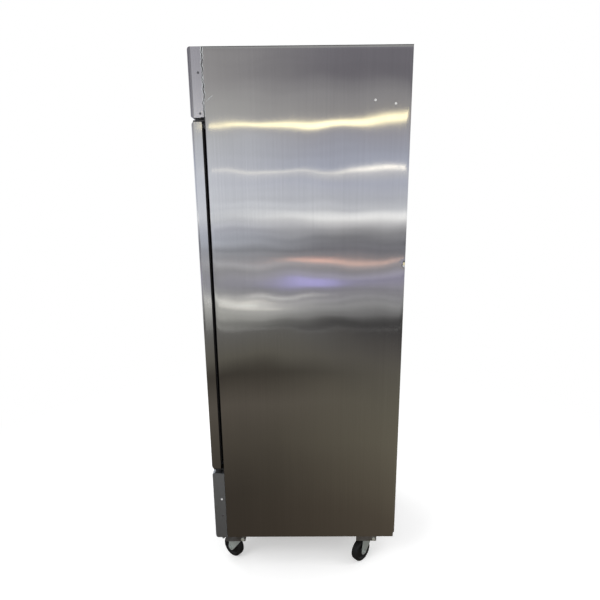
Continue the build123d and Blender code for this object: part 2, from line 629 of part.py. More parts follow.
def hinge_bushes():
    """Nylon bushes in the door's top and bottom edge."""
    at, r, bore = (X_HINGE, Y_HINGE), BUSH_R + CAP_OVER, BUSH_DEPTH - BUSH_FLOOR
    low = rod_z(BUSH_R, *at, Z_DOOR_LOW, Z_DOOR_LOW + BUSH_DEPTH)
    low += rod_z(r, *at, Z_DOOR_LOW - BUSH_CAP, Z_DOOR_LOW)
    low -= rod_z(PIN_R + RUN, *at, Z_DOOR_LOW - BUSH_CAP - CUT, Z_DOOR_LOW + bore)
    high = rod_z(BUSH_R, *at, Z_DOOR_HIGH - BUSH_DEPTH, Z_DOOR_HIGH)
    high += rod_z(r, *at, Z_DOOR_HIGH, Z_DOOR_HIGH + BUSH_CAP)
    high -= rod_z(PIN_R + RUN, *at, Z_DOOR_HIGH - bore, Z_DOOR_HIGH + BUSH_CAP + CUT)
    return group([low, high])


def hinge_screw_spots():
    """Centres of the hinge brackets' screws on the cabinet's front, hinge side."""
    x = X_STEEL + HINGE_SCREW_EDGE
    xs = (x, x + HINGE_SCREW_PITCH)
    levels = [Z_HINGE_HIGH + k for k in HIGH_HINGE_SCREWS]
    levels += [Z_HINGE_LOW + HINGE_T - k for k in LOW_HINGE_SCREWS]
    return [(x, z) for x in xs for z in levels]


def hinge_screw_holes(side):
    """Holes for those screws on the right (1) or the left (-1), for either hinge side."""
    y0, y1 = Y_CAB - HINGE_T - CUT, Y_CAB + SCREW_LENGTH
    return [rod_y(SCREW_R + RUN, side * x, y0, y1, z) for x, z in hinge_screw_spots()]


def hinge_bracket(z_plate, up, pin_z0, pin_z1):
    """A flat arm with the hinge pin, and a leg screwed to the cabinet's front."""
    x0, x1 = X_HINGE - HINGE_W / 2, X_SIDE - SKIN - BRACKET_T - 2 * FIT
    arm = block(x0, x1, Y_HINGE - BUSH_R - ARM_NOSE, Y_CAB, z_plate, z_plate + HINGE_T)
    arm = fillet(arm.edges().filter_by(Axis.Z).group_by(Axis.Y)[0], ARM_ROUND)
    z0 = z_plate if up else z_plate + HINGE_T - HINGE_LEG
    leg = block(x0, x1, Y_CAB - HINGE_T, Y_CAB, z0, z0 + HINGE_LEG)
    pin = rod_z(PIN_R, X_HINGE, Y_HINGE, pin_z0, pin_z1)
    return arm + leg + pin - hinge_screw_holes(1)


def hinge_brackets():
    """Top and bottom hinge bracket, each with its pin."""
    tip = BUSH_DEPTH - PIN_SHORT
    high = hinge_bracket(Z_HINGE_HIGH, True, Z_DOOR_HIGH - tip, Z_HINGE_HIGH + HINGE_T)
    low = hinge_bracket(Z_HINGE_LOW, False, Z_HINGE_LOW, Z_DOOR_LOW + tip)
    return group([high, low])


# ---------------------------------------------------------------- casters
RAIL_BOLT_R = 7.0
RAIL_BOLT_Y = 32.0
RAIL_BOLT_Z = 9.5
RAIL_BOLT_DEPTH = 14.0
RAIL_BOLT_HEAD = 4.0
RAIL_BOLT_ROUND = 1.5
BOLT_HEX = 13.0
BOLT_HEAD_H = 5.3
BOLT_NUT_H = 6.5
BOLT_ABOVE = 10.0  # bolt's end over the rail's floor
PLATE_ROUND = 8.0
KING_FLANGE = 3.0  # kingpin's riveted end round the pin
KING_FLANGE_H = 6.0
KING_END = 5.0
LOWER_RACE_LESS = 3.0  # lower race's radius under the upper one's
AXLE_PAST_NUT = 2.0
HUB_STEP = 2.0
HUB_EDGE = 1.5
WEB_SINK = 5.5  # wheel's web in from its rim
RIM_INNER = 15.0  # tread's face in to the web
RIM_OUTER = 12.0
TIP_BACK = 1.0  # lever's tip to the pedal's face
PEDAL_ROUND = 4.0


def caster_spots():
    """Name, centre and rest angle of each caster."""
    return (
        ("front_right", X_CASTER, Y_RAIL_FRONT, FRONT_SWIVEL),
        ("front_left", -X_CASTER, Y_RAIL_FRONT, -FRONT_SWIVEL),
        ("rear_right", X_CASTER, Y_RAIL_REAR, REAR_SWIVEL),
        ("rear_left", -X_CASTER, Y_RAIL_REAR, -REAR_SWIVEL),
    )


def bolt_spots():
    """Centres of the plate bolts of all four casters."""
    return [
        (x + i * BOLT_X / 2, y + j * BOLT_Y / 2)
        for _, x, y, _ in caster_spots()
        for i in (-1, 1)
        for j in (-1, 1)
    ]


def caster_rails():
    """Cross rails: channels open at the top, closed at both ends."""
    found = []
    x = X_SIDE - RAIL_END
    for y in (Y_RAIL_FRONT, Y_RAIL_REAR):
        h = RAIL_W / 2
        rail = block(-x, x, y - h, y + h, CASTER_H, Z_BASE)
        rail = fillet(rail.edges().group_by(Axis.Z)[0].filter_by(Axis.X), BEND + RAIL_T / 2)
        w, g, z_floor = x - RAIL_T, h - RAIL_T, CASTER_H + RAIL_T
        rail -= block(-w, w, y - g, y + g, z_floor, Z_BASE + CUT)
        rail -= [rod_z(BOLT_HOLE_R, *spot, CASTER_H - CUT, z_floor + CUT) for spot in bolt_spots()]
        z = CASTER_H + RAIL_BOLT_Z
        rail -= rod_x(BOLT_R + RUN, -x - CUT, x + CUT, y + RAIL_BOLT_Y, z)
        found.append(rail)
    return group(found)


def caster_bolts():
    """Bolts through the caster plates and through the ends of the rails."""
    found = []
    z_plate, z_floor = CASTER_H - PLATE_T, CASTER_H + RAIL_T
    for x, y in bolt_spots():
        bolt = rod_z(BOLT_R, x, y, z_plate, z_floor + BOLT_ABOVE)
        bolt += hex_z(BOLT_HEX, x, y, z_plate - BOLT_HEAD_H, z_plate)
        bolt += hex_z(BOLT_HEX, x, y, z_floor, z_floor + BOLT_NUT_H)
        found.append(bolt)
    x = X_SIDE - RAIL_END
    z = CASTER_H + RAIL_BOLT_Z
    for y in (Y_RAIL_FRONT + RAIL_BOLT_Y, Y_RAIL_REAR + RAIL_BOLT_Y):
        end = rod_x(BOLT_R, x - RAIL_BOLT_DEPTH, x, y, z)
        end += rod_x(RAIL_BOLT_R, x, x + RAIL_BOLT_HEAD, y, z)
        end = fillet(end.edges().group_by(Axis.X)[-1], RAIL_BOLT_ROUND)
        found += [end, mirrored(end)]
    return group(found)


def caster_plates():
    """Top plates, each with its upper race and kingpin."""
    found = []
    z, w, h = CASTER_H - PLATE_T, PLATE_X / 2, PLATE_Y / 2
    z_crown = z - RACE_GAP - FORK_T
    holes = [rod_z(BOLT_HOLE_R, *spot, z - CUT, CASTER_H + CUT) for spot in bolt_spots()]
    for _, x, y, _ in caster_spots():
        plate = block(x - w, x + w, y - h, y + h, z, CASTER_H)
        plate = fillet(plate.edges().filter_by(Axis.Z), PLATE_ROUND)
        plate += rod_z(RACE_R, x, y, z - RACE_GAP / 2 + FIT, z)
        plate += rod_z(KING_R, x, y, z_crown - KING_END, z)
        plate += rod_z(KING_R + KING_FLANGE, x, y, z_crown - KING_FLANGE_H, z_crown - FIT)
        found.append(plate - holes)
    return group(found)


def fork(braked):
    """Swivelling fork at its own origin: swivel axis on Z, wheel trailing to -Y."""
    z_top = CASTER_H - PLATE_T - RACE_GAP
    half = HUB_W / 2 + FORK_PLAY
    low = Pos(-TRAIL, WHEEL_R) * Circle(FORK_LEG_R)
    crown = Pos(0, z_top - FORK_T / 2) * Rectangle(2 * FORK_CROWN_Y, FORK_T)
    profile = make_hull(low.edges() + crown.edges())
    leg = Plane.YZ * extrude(profile, FORK_T)
    x, y = half + FORK_T, FORK_CROWN_Y
    body = Pos(half, 0, 0) * leg + Pos(-x, 0, 0) * leg
    body += block(-x, x, -y, y, z_top - FORK_T, z_top)
    body += rod_z(RACE_R - LOWER_RACE_LESS, 0, 0, z_top, z_top + RACE_GAP / 2)
    body -= rod_z(KING_R + RUN, 0, 0, z_top - RACE_GAP, z_top + RACE_GAP)
    lever_room = LEVER_T + 2 * FIT if braked else 0.0
    nut = Plane.YZ * extrude(RegularPolygon(AXLE_NUT / 2, 6, major_radius=False), NUT_T)
    body += Pos(x, -TRAIL, WHEEL_R) * nut
    body += Pos(-x - lever_room - NUT_T, -TRAIL, WHEEL_R) * nut
    end = x + NUT_T + AXLE_PAST_NUT
    return body + rod_x(AXLE_R, -end - lever_room, end, -TRAIL, WHEEL_R)


def wheel():
    """Solid wheel at its own origin, with its hub and tread, axis on X."""
    r, w = WHEEL_R, WHEEL_W / 2
    side = Polyline(
        (AXLE_R + RUN, 0),
        (AXLE_R + RUN, HUB_W / 2),
        (HUB_R - HUB_STEP, HUB_W / 2),
        (HUB_R, HUB_W / 2 - HUB_STEP),
        (HUB_R + HUB_EDGE, w - WEB_SINK),
        (r - RIM_INNER, w - WEB_SINK),
        (r - RIM_OUTER, w),
        (r - TREAD_ROUND, w),
    )
    tread = Line((r, w - TREAD_ROUND), (r, 0))
    corner = RadiusArc((r - TREAD_ROUND, w), (r, w - TREAD_ROUND), TREAD_ROUND)
    close = Line((r, 0), (AXLE_R + RUN, 0))
    half = make_face(side + corner + tread + close)
    solid = revolve(Plane.XZ * half, Axis.Z)
    solid += mirror(solid, about=Plane.XY)
    return Rot(0, 90, 0) * solid


def brake_lever():
    """Foot lever between the fork and its axle nut, at the fork's own origin."""
    half = HUB_W / 2 + FORK_PLAY + FORK_T + FIT
    y = -TRAIL - WHEEL_R - PEDAL_GAP
    eye = Pos(-TRAIL, WHEEL_R) * Circle(LEVER_EYE_R)
    tip = Pos(y + PEDAL_GAP + TIP_BACK, WHEEL_R + LEVER_RISE) * Circle(LEVER_TIP_R)
    arm = Plane.YZ * extrude(make_hull(eye.edges() + tip.edges()), LEVER_T)
    arm = Pos(-half - LEVER_T, 0, 0) * arm
    z0, z1 = WHEEL_R + PEDAL_LOW, WHEEL_R + PEDAL_HIGH
    pedal = block(-half - LEVER_T, PEDAL_END, y - PEDAL_T, y, z0, z1)
    pedal = fillet(pedal.edges().filter_by(Axis.Y), PEDAL_ROUND)
    bore = rod_x(AXLE_R + RUN, -half - LEVER_T - CUT, -half + CUT, -TRAIL, WHEEL_R)
    return arm + pedal - bore


def placed(shape, x, y, angle):
    """A caster's moving piece, put at its swivel axis and turned."""
    return Pos(x, y, 0) * Rot(0, 0, angle) * shape


# ---------------------------------------------------------------- condensing unit
COIL_X = (-280.0, 90.0)
COIL_Y = (Y_CAB + 42.0, Y_CAB + 100.0)
COIL_H = 250.0
COIL_ROWS = 8
COIL_TUBE_R = 4.5
COIL_STUB = 2.0
FIN_T = 0.8
SHROUD_D = 46.0
FAN_X = (COIL_X[0] + COIL_X[1]) / 2
FAN_Z = Z_UNIT_DECK + COIL_H / 2
COND_FAN_R = 105.0
COMP_X, COMP_Y, COMP_R = 130.0, 60.0, 80.0
COMP_H = 195.0
GROMMET_H = 12.0
FOOT_X, FOOT_Y = 85.0, 62.0
PAN_WALL = 2.0
STUB_R = 6.0
STUB = 12.0
Z_SUCTION = Z_UNIT_DECK + 82.0
Z_DISCHARGE = Z_UNIT_DECK + 142.0
TRAY_X = 300.0
TRAY_Y = (Y_CAB + 26.0, Y_REAR - 24.0)
TRAY_H = 16.0
COIL_END_T = 1.5
COIL_MARGIN = 10.0  # end plate to the first fin
FIN_SHORT = 2.0
COIL_FINS = 34
COLLAR_WALL = 1.5
COLLAR_R = COND_FAN_R + 7.0
COLLAR_DEPTH = 12.0
FAN_SINK = 2.0  # blade's middle inside the shroud's face
MOTOR_ROUND = 4.0
MOTOR_ARM_T = 2.5
ARM_SINK = 3.0  # motor arm's start under the can's surface
SHAFT_SINK = 2.0
PADDLE_WIDTH = 0.62  # of the blade's radius
PADDLE_ROUND = 0.16  # of the blade's radius
PADDLE_T = 1.4
PADDLE_SINK = 4.0  # paddle's root inside the hub
BLADES = 5
COND_MOTOR = (55.0, 36.0)  # length and radius
COND_ARM_REACH = COND_FAN_R + 15.0
COND_ARM_W = 14.0
COND_ARM_BACK = 8.0  # motor's front to its arms
COND_SHAFT_R = 3.0
COND_SHAFT_LEAD = 8.0  # blade's middle to the shaft's tip
COND_HUB = (20.0, 16.0)  # radius and length
COND_PITCH = 28.0
CAN_TOP_ROUND = 42.0
CAN_LOW_ROUND = 20.0
WELD_RISE = (108.0, 113.0)
WELD_PROUD = 3.0
COMP_FOOT_T = 3.0
COMP_FOOT_EDGE = (16.0, 14.0)
COMP_FOOT_ROUND = 14.0
COMP_NECK_LESS = 24.0
COMP_NECK_H = 12.0
GROMMET_HOLE_R = 9.0
GROMMET_R = 13.0
GROMMET_WAIST_R = 8.8
GROMMET_CAP_R = 12.0
GROMMET_CAP_H = 3.0
STARTER = (38.0, 36.0)  # depth and half width
STARTER_RISE = (70.0, 150.0)
STARTER_ROUND = 5.0
DRIP_X = 270.0
DRIP_Y = (Y_REAR - 150.0, Y_REAR - 40.0)
DRIP_H = 50.0
DRIP_RIM = 5.0


def unit_tray():
    """Slide-out tray under the condensing unit."""
    x, t = TRAY_X, UNIT_T
    y0, y1 = TRAY_Y
    tray = block(-x, x, y0, y1, Z_UNIT, Z_UNIT + TRAY_H)
    return tray - block(-x + t, x - t, y0 + t, y1 - t, Z_UNIT_DECK, Z_UNIT + TRAY_H + CUT)


def coil_levels(z0, z1, rows):
    """Heights of a coil's tubes."""
    step = (z1 - z0) / rows
    return [z0 + step * (i + 0.5) for i in range(rows)]


def finned_coil(x0, x1, y0, y1, z0, z1, rows, fins, open_side):
    """A fin pack on serpentine tubes; both ends of the tube are at the open side."""
    pitch = (x1 - x0 - 2 * COIL_MARGIN) / fins
    t, g = COIL_END_T, FIN_SHORT
    plates = [block(x0, x0 + t, y0, y1, z0, z1), block(x1 - t, x1, y0, y1, z0, z1)]
    for i in range(fins + 1):
        x = x0 + COIL_MARGIN + i * pitch
        plates.append(block(x, x + FIN_T, y0 + g, y1 - g, z0 + g, z1 - g))
    y = (y0 + y1) / 2
    levels = coil_levels(z0, z1, rows)
    tubes = [rod_x(COIL_TUBE_R, x0 - COIL_STUB, x1 + COIL_STUB, y, z) for z in levels]
    bends = []
    step = (z1 - z0) / rows
    for i in range(rows - 1):
        side = -open_side if i % 2 == 0 else open_side
        x = x1 + COIL_STUB if side > 0 else x0 - COIL_STUB
        z = (levels[i] + levels[i + 1]) / 2
        ring = Pos(x, y, z) * Rot(90, 0, 0) * Torus(step / 2, COIL_TUBE_R)
        bends.append(ring & block(x, x + side * step, y - step, y + step, z - step, z + step))
    return plates[0] + plates[1:] + tubes + bends


def condenser_coil():
    """Condenser behind the lower panel."""
    z0, z1 = Z_UNIT_DECK, Z_UNIT_DECK + COIL_H
    return finned_coil(*COIL_X, *COIL_Y, z0, z1, COIL_ROWS, COIL_FINS, 1)


def fan_shroud():
    """Sheet box that ducts the condenser's air to its fan."""
    (x0, x1), t = COIL_X, UNIT_T
    y0, y1 = COIL_Y[1], COIL_Y[1] + SHROUD_D
    z0, z1 = Z_UNIT_DECK, Z_UNIT_DECK + COIL_H
    box = block(x0, x1, y0, y1, z0, z1)
    box -= block(x0 + t, x1 - t, y0 - CUT, y1 - t, z0 + t, z1 - t)
    collar = rod_y(COLLAR_R, FAN_X, y1 - COLLAR_DEPTH, y1, FAN_Z)
    mouth = rod_y(COLLAR_R - COLLAR_WALL, FAN_X, y1 - COLLAR_DEPTH - CUT, y1 + CUT, FAN_Z)
    return box + collar - mouth


def fan_motor(x, z, y_body, can, shaft, arms):
    """A motor with its shaft towards the blade and four arms to its mounting face.

    can is (length, radius), shaft (radius, y of its tip) and arms (reach, width, y of
    the arms, y of the mounting face).
    """
    (length, radius), (shaft_r, y_tip), (reach, width, y_arm, y_mount) = can, shaft, arms
    body = rod_y(radius, x, y_body, y_body + length, z)
    body = fillet(body.edges().filter_by(GeomType.CIRCLE), MOTOR_ROUND)
    pin = rod_y(shaft_r, x, y_tip, y_body + SHAFT_SINK, z)
    w, t = width / 2, MOTOR_ARM_T
    arm = block(-w, w, y_arm, y_arm + t, radius - ARM_SINK, reach)
    arm += block(-w, w, min(y_arm, y_mount), max(y_arm + t, y_mount), reach - t, reach)
    return body + pin + [Pos(x, 0, z) * Rot(0, 45 + 90 * k, 0) * arm for k in range(4)]


def fan_blade(x, y_mid, z, radius, hub, pitch, shaft_r):
    """A propeller of flat pitched blades round a hub (radius, length), on the Y axis."""
    hub_r, length = hub
    core = rod_y(hub_r, 0, -length / 2, length / 2, 0)
    plate = Box(radius * PADDLE_WIDTH, PADDLE_T, radius - hub_r + PADDLE_SINK)
    paddle = Pos(0, 0, (hub_r + radius - PADDLE_SINK) / 2) * Rot(0, 0, pitch) * plate
    tips = paddle.edges().group_by(Axis.Z)[-1].sort_by(SortBy.LENGTH)[:2]
    paddle = fillet(tips, radius * PADDLE_ROUND)
    rotor = core + [Rot(0, 360 / BLADES * k, 0) * paddle for k in range(BLADES)]
    rotor &= rod_y(radius, 0, -radius, radius, 0)
    rotor -= rod_y(shaft_r + RUN, 0, -length, length / 2 + CUT, 0)
    return Pos(x, y_mid, z) * rotor


COND_BLADE_Y = COIL_Y[1] + SHROUD_D - FAN_SINK
COND_MOTOR_Y = COND_BLADE_Y + 22.0


def condenser_fan_motor():
    """Motor behind the condenser's blade, on four arms from the shroud."""
    shaft = (COND_SHAFT_R, COND_BLADE_Y - COND_SHAFT_LEAD)
    arms = (COND_ARM_REACH, COND_ARM_W, COND_MOTOR_Y + COND_ARM_BACK, COIL_Y[1] + SHROUD_D)
    return fan_motor(FAN_X, FAN_Z, COND_MOTOR_Y, COND_MOTOR, shaft, arms)


def condenser_fan_blade():
    """Blade that pulls air through the condenser."""
    return fan_blade(FAN_X, COND_BLADE_Y, FAN_Z, COND_FAN_R, COND_HUB, COND_PITCH, COND_SHAFT_R)


def compressor():
    """Hermetic compressor: welded can on a foot plate, with its pipe stubs."""
    z0 = Z_UNIT_DECK + GROMMET_H
    z_foot = z0 + COMP_FOOT_T
    can = rod_z(COMP_R, COMP_X, COMP_Y, z_foot, z0 + COMP_H)
    can = fillet(can.edges().group_by(Axis.Z)[-1], CAN_TOP_ROUND)
    can = fillet(can.edges().group_by(Axis.Z)[0], CAN_LOW_ROUND)
    weld = rod_z(COMP_R + WELD_PROUD, COMP_X, COMP_Y, z0 + WELD_RISE[0], z0 + WELD_RISE[1])
    w, h = FOOT_X + COMP_FOOT_EDGE[0], FOOT_Y + COMP_FOOT_EDGE[1]
    foot = block(COMP_X - w, COMP_X + w, COMP_Y - h, COMP_Y + h, z0, z_foot)
    foot = fillet(foot.edges().filter_by(Axis.Z), COMP_FOOT_ROUND)
    holes = [rod_z(GROMMET_HOLE_R, x, y, z0 - CUT, z_foot + CUT) for x, y in grommet_spots()]
    neck = rod_z(COMP_R - COMP_NECK_LESS, COMP_X, COMP_Y, z0, z0 + COMP_NECK_H)
    suction = rod_x(STUB_R, COMP_X - COMP_R - STUB, COMP_X, COMP_Y, Z_SUCTION)
    discharge = rod_y(STUB_R, COMP_X, COMP_Y - COMP_R - STUB, COMP_Y, Z_DISCHARGE)
    return can + weld + foot + neck + suction + discharge - holes


def grommet_spots():
    """Centres of the compressor's four mounting feet."""
    return [(COMP_X + i * FOOT_X, COMP_Y + j * FOOT_Y) for i in (-1, 1) for j in (-1, 1)]


def compressor_mounts():
    """Rubber grommets with their studs."""
    z, z_foot = Z_UNIT_DECK, Z_UNIT_DECK + GROMMET_H
    z_cap = z_foot + COMP_FOOT_T
    found = []
    for x, y in grommet_spots():
        bush = rod_z(GROMMET_R, x, y, z, z_foot) + rod_z(GROMMET_WAIST_R, x, y, z, z_cap)
        found.append(bush + rod_z(GROMMET_CAP_R, x, y, z_cap, z_cap + GROMMET_CAP_H))
    return group(found)


def electrical_box():
    """Starter and terminal cover on the compressor's side."""
    x = COMP_X + COMP_R + WELD_PROUD + FIT
    depth, h = STARTER
    z0, z1 = Z_UNIT_DECK + STARTER_RISE[0], Z_UNIT_DECK + STARTER_RISE[1]
    box = block(x, x + depth, COMP_Y - h, COMP_Y + h, z0, z1)
    return fillet(box.edges().group_by(Axis.X)[-1], STARTER_ROUND)


def condensate_pan():
    """Plastic pan behind the compressor where defrost water dries off."""
    x, w, r = DRIP_X, PAN_WALL, DRIP_RIM
    y0, y1 = DRIP_Y
    z0, z1 = Z_UNIT_DECK, Z_UNIT_DECK + DRIP_H
    pan = block(-x, x, y0, y1, z0, z1)
    pan -= block(-x + w, x - w, y0 + w, y1 - w, z0 + w, z1 + CUT)
    rim = block(-x - r, x + r, y0 - r, y1 + r, z1 - w, z1)
    return pan + (rim - block(-x, x, y0, y1, z1 - w - CUT, z1 + CUT))


def tube(points, bend, radius):
    """A pipe through the points, with the same bend at each corner."""
    path = FilletPolyline(*points, radius=bend)
    return sweep(Plane(origin=path @ 0, z_dir=path % 0) * Circle(radius), path=path)


# ---------------------------------------------------------------- evaporator
EVAP_X = 285.0
EVAP_Y = (Y_DROP + 70.0, Y_BOX_BACK - 8.0)
EVAP_H = 205.0
EVAP_T = 1.0
EVAP_FAN_R = 72.0
Z_EVAP = Z_CEILING - EVAP_H
EVAP_FAN_Z = Z_EVAP + EVAP_H / 2
EVAP_BLADE_Y = EVAP_Y[0] + 26.0
EVAP_MOTOR_Y = EVAP_BLADE_Y + 16.0
ECOIL_Y = (EVAP_Y[0] + 250.0, EVAP_Y[0] + 340.0)
ECOIL_X = 215.0
ECOIL_ROWS = 6
Z_ECOIL = Z_EVAP + EVAP_T + 14.0
ECOIL_FINS = 30
EVAP_ROUND = 10.0
GRILLE_RINGS = (22.0, 36.0, 50.0, 64.0, 78.0)  # outer radii of the grille's slots
GRILLE_SLOT = 10.5
SPOKE_W = 3.5
SPOKE_L = 200.0
RETURN_COLUMNS = range(-6, 7)
RETURN_PITCH = 34.0
RETURN_SLOT = (90.0, 10.0)
RETURN_BACK = 60.0  # coil's back to the middle of the return slots
EVAP_MOTOR = (45.0, 28.0)
EVAP_ARM_REACH = EVAP_FAN_R + 18.0
EVAP_ARM_W = 10.0
EVAP_ARM_BACK = 6.0
EVAP_SHAFT_R = 2.5
EVAP_SHAFT_LEAD = 5.0
EVAP_HUB = (14.0, 12.0)
EVAP_PITCH = 26.0


def evaporator_housing():
    """Sheet cover over the evaporator, with a punched fan grille and return slots."""
    x, t = EVAP_X, EVAP_T
    y0, y1 = EVAP_Y
    box = block(-x, x, y0, y1, Z_EVAP, Z_CEILING)
    box = fillet(box.edges().group_by(Axis.Z)[0].filter_by(Axis.X), EVAP_ROUND)
    hollow = block(-x + t, x - t, y0 + t, y1 - t, Z_EVAP + t, Z_CEILING + CUT)
    hollow = fillet(hollow.edges().group_by(Axis.Z)[0].filter_by(Axis.X), EVAP_ROUND - t)
    a, b = y0 - CUT, y0 + t + CUT
    rings = []
    for r in GRILLE_RINGS:
        rings.append(rod_y(r, 0, a, b, EVAP_FAN_Z) - rod_y(r - GRILLE_SLOT, 0, a, b, EVAP_FAN_Z))
    spoke = Box(SPOKE_W, 3 * (b - a), SPOKE_L)
    spokes = [Pos(0, y0, EVAP_FAN_Z) * Rot(0, 45 * k, 0) * spoke for k in range(4)]
    cuts = [ring - spokes for ring in rings]
    hole = extrude(SlotOverall(*RETURN_SLOT, rotation=90), t + 2 * CUT)
    y = ECOIL_Y[1] + RETURN_BACK
    returns = [Pos(c * RETURN_PITCH, y, Z_EVAP - CUT) * hole for c in RETURN_COLUMNS]
    lines = [rod_y(r + LINE_ROOM, x, y1 - t - CUT, y1 + CUT, z) for x, z, r in LINE_HOLES]
    return box - hollow - cuts - returns - lines


def evaporator_coil():
    """Evaporator across the housing."""
    return finned_coil(-ECOIL_X, ECOIL_X, *ECOIL_Y, Z_ECOIL, Z_CEILING, ECOIL_ROWS, ECOIL_FINS, -1)


def evaporator_fan_motor():
    """Motor behind the evaporator's blade, on four arms from the cover."""
    shaft = (EVAP_SHAFT_R, EVAP_BLADE_Y - EVAP_SHAFT_LEAD)
    arms = (EVAP_ARM_REACH, EVAP_ARM_W, EVAP_MOTOR_Y + EVAP_ARM_BACK, EVAP_Y[0] + EVAP_T)
    return fan_motor(0, EVAP_FAN_Z, EVAP_MOTOR_Y, EVAP_MOTOR, shaft, arms)


def evaporator_fan_blade():
    """Blade that blows chilled air into the box."""
    return fan_blade(0, EVAP_BLADE_Y, EVAP_FAN_Z, EVAP_FAN_R, EVAP_HUB, EVAP_PITCH, EVAP_SHAFT_R)


SUCTION_RUN = 30.0  # deck down to the suction line's run to the back
SUCTION_CROSS = (32.0, 42.0)  # past the evaporator coil's back and its end
LIQUID_RUN = 46.0
LIQUID_CROSS = (12.0, 28.0)
LIQUID_UP = 165.0  # compressor's middle forward to the liquid line's rise
DRIER_OUT = 22.0  # condenser's end to the drier
DRIER_FROM_RISE = (110.0, 25.0)
DRIER_ROUND = 0.6
DISCHARGE_OUT = 70.0
DRAIN_RUN = 40.0
DRAIN_START = 40.0
DRAIN_REAR = 95.0
DRAIN_END = 30.0  # hose's end over the unit's deck


def suction_line():
    """From the evaporator's top tube down the back wall to the compressor."""
    x, z_run = LINE_X[0], Z_DECK - SUCTION_RUN
    y_cross, x_side = ECOIL_Y[1] + SUCTION_CROSS[0], -ECOIL_X - SUCTION_CROSS[1]
    y_coil = (ECOIL_Y[0] + ECOIL_Y[1]) / 2
    z_coil = coil_levels(Z_ECOIL, Z_CEILING, ECOIL_ROWS)[-1]
    points = [
        (COMP_X - COMP_R - STUB, COMP_Y, Z_SUCTION),
        (x, COMP_Y, Z_SUCTION),
        (x, COMP_Y, z_run),
        (x, LINE_Y, z_run),
        (x, LINE_Y, LINE_HOLE_Z),
        (x, y_cross, LINE_HOLE_Z),
        (x_side, y_cross, LINE_HOLE_Z),
        (x_side, y_coil, LINE_HOLE_Z),
        (x_side, y_coil, z_coil),
        (-ECOIL_X - COIL_STUB, y_coil, z_coil),
    ]
    return tube(points, SUCTION_BEND, SUCTION_R)


def liquid_line():
    """From the condenser's bottom tube through the drier to the evaporator."""
    x_drier = COIL_X[1] + DRIER_OUT
    y_coil = (COIL_Y[0] + COIL_Y[1]) / 2
    z_low = coil_levels(Z_UNIT_DECK, Z_UNIT_DECK + COIL_H, COIL_ROWS)[0]
    x, z_run, y_up = LINE_X[1], Z_DECK - LIQUID_RUN, COMP_Y - LIQUID_UP
    y_cross, x_side = ECOIL_Y[1] + LIQUID_CROSS[0], -ECOIL_X - LIQUID_CROSS[1]
    y_evap = (ECOIL_Y[0] + ECOIL_Y[1]) / 2
    z_evap = coil_levels(Z_ECOIL, Z_CEILING, ECOIL_ROWS)[0]
    points = [
        (COIL_X[1] + COIL_STUB, y_coil, z_low),
        (x_drier, y_coil, z_low),
        (x_drier, y_up, z_low),
        (x, y_up, z_low),
        (x, y_up, z_run),
        (x, LINE_Y, z_run),
        (x, LINE_Y, LINE_HOLE_Z),
        (x, y_cross, LINE_HOLE_Z),
        (x_side, y_cross, LINE_HOLE_Z),
        (x_side, y_evap, LINE_HOLE_Z),
        (x_side, y_evap, z_evap),
        (-ECOIL_X - COIL_STUB, y_evap, z_evap),
    ]
    front, back = (y_up - k for k in DRIER_FROM_RISE)
    drier = rod_y(DRIER_R, x_drier, front, back, z_low)
    drier = fillet(drier.edges().filter_by(GeomType.CIRCLE), DRIER_R * DRIER_ROUND)
    return tube(points, CAPILLARY_BEND, CAPILLARY_R) + drier


def discharge_line():
    """From the compressor to the condenser's top tube."""
    y_coil = (COIL_Y[0] + COIL_Y[1]) / 2
    z_high = coil_levels(Z_UNIT_DECK, Z_UNIT_DECK + COIL_H, COIL_ROWS)[-1]
    points = [
        (COMP_X, COMP_Y - COMP_R - STUB, Z_DISCHARGE),
        (COMP_X, COMP_Y - COMP_R - DISCHARGE_OUT, Z_DISCHARGE),
        (COMP_X, COMP_Y - COMP_R - DISCHARGE_OUT, z_high),
        (COMP_X, y_coil, z_high),
        (COIL_X[1] + COIL_STUB, y_coil, z_high),
    ]
    return tube(points, DISCHARGE_BEND, DISCHARGE_R)


def refrigerant_lines():
    """Suction, liquid and discharge lines."""
    return group([suction_line(), liquid_line(), discharge_line()])


def drain_hose():
    """Hose from under the evaporator down the back wall to the condensate pan."""
    x, z_run, y_pan = LINE_X[2], Z_DECK - DRAIN_RUN, Y_REAR - DRAIN_REAR
    points = [
        (x, EVAP_Y[1] - DRAIN_START, Z_DRAIN),
        (x, LINE_Y, Z_DRAIN),
        (x, LINE_Y, z_run),
        (x, y_pan, z_run),
        (x, y_pan, Z_UNIT_DECK + DRAIN_END),
    ]
    return tube(points, DRAIN_BEND, DRAIN_R)


# ---------------------------------------------------------------- inside fittings
SHELF_CORNER = 14.0
WIRE_MARGIN = 12.0
BAR_SINK = 1.0  # cross bars' tops under the rim's top
PILASTER_ENDS = (20.0, 24.0)  # floor to the post's foot, its top to the opening's top
PILASTER_SLOT = (13.0, 3.6)
SLOT_START = 9.0  # first slot's middle under one pitch from the floor
SLOT_MARGIN = 30.0
TONGUE_L = 12.0
TONGUE_W = 12.0
CLIP_T = 2.4
CLIP_DROP = 16.0
HOOK_W = 10.0
HOOK_T = 2.0
HOOK_IN = 4.0  # hook's run into its post
CATCH_T = 1.8
CATCH_RISE = 4.0
LAMP = (10.0, 18.0, 660.0)  # thickness, width and length
LAMP_Y = Y_CAB + 24.0
LAMP_ROUND = 3.5


def shelf_levels():
    """Heights of the shelf tops, on the pilasters' slots."""
    step = round((Z_OPEN_HIGH - Z_OPEN_LOW) / (SHELF_COUNT + 1) / SLOT_PITCH) * SLOT_PITCH
    return [Z_OPEN_LOW + step * (i + 1) for i in range(SHELF_COUNT)]


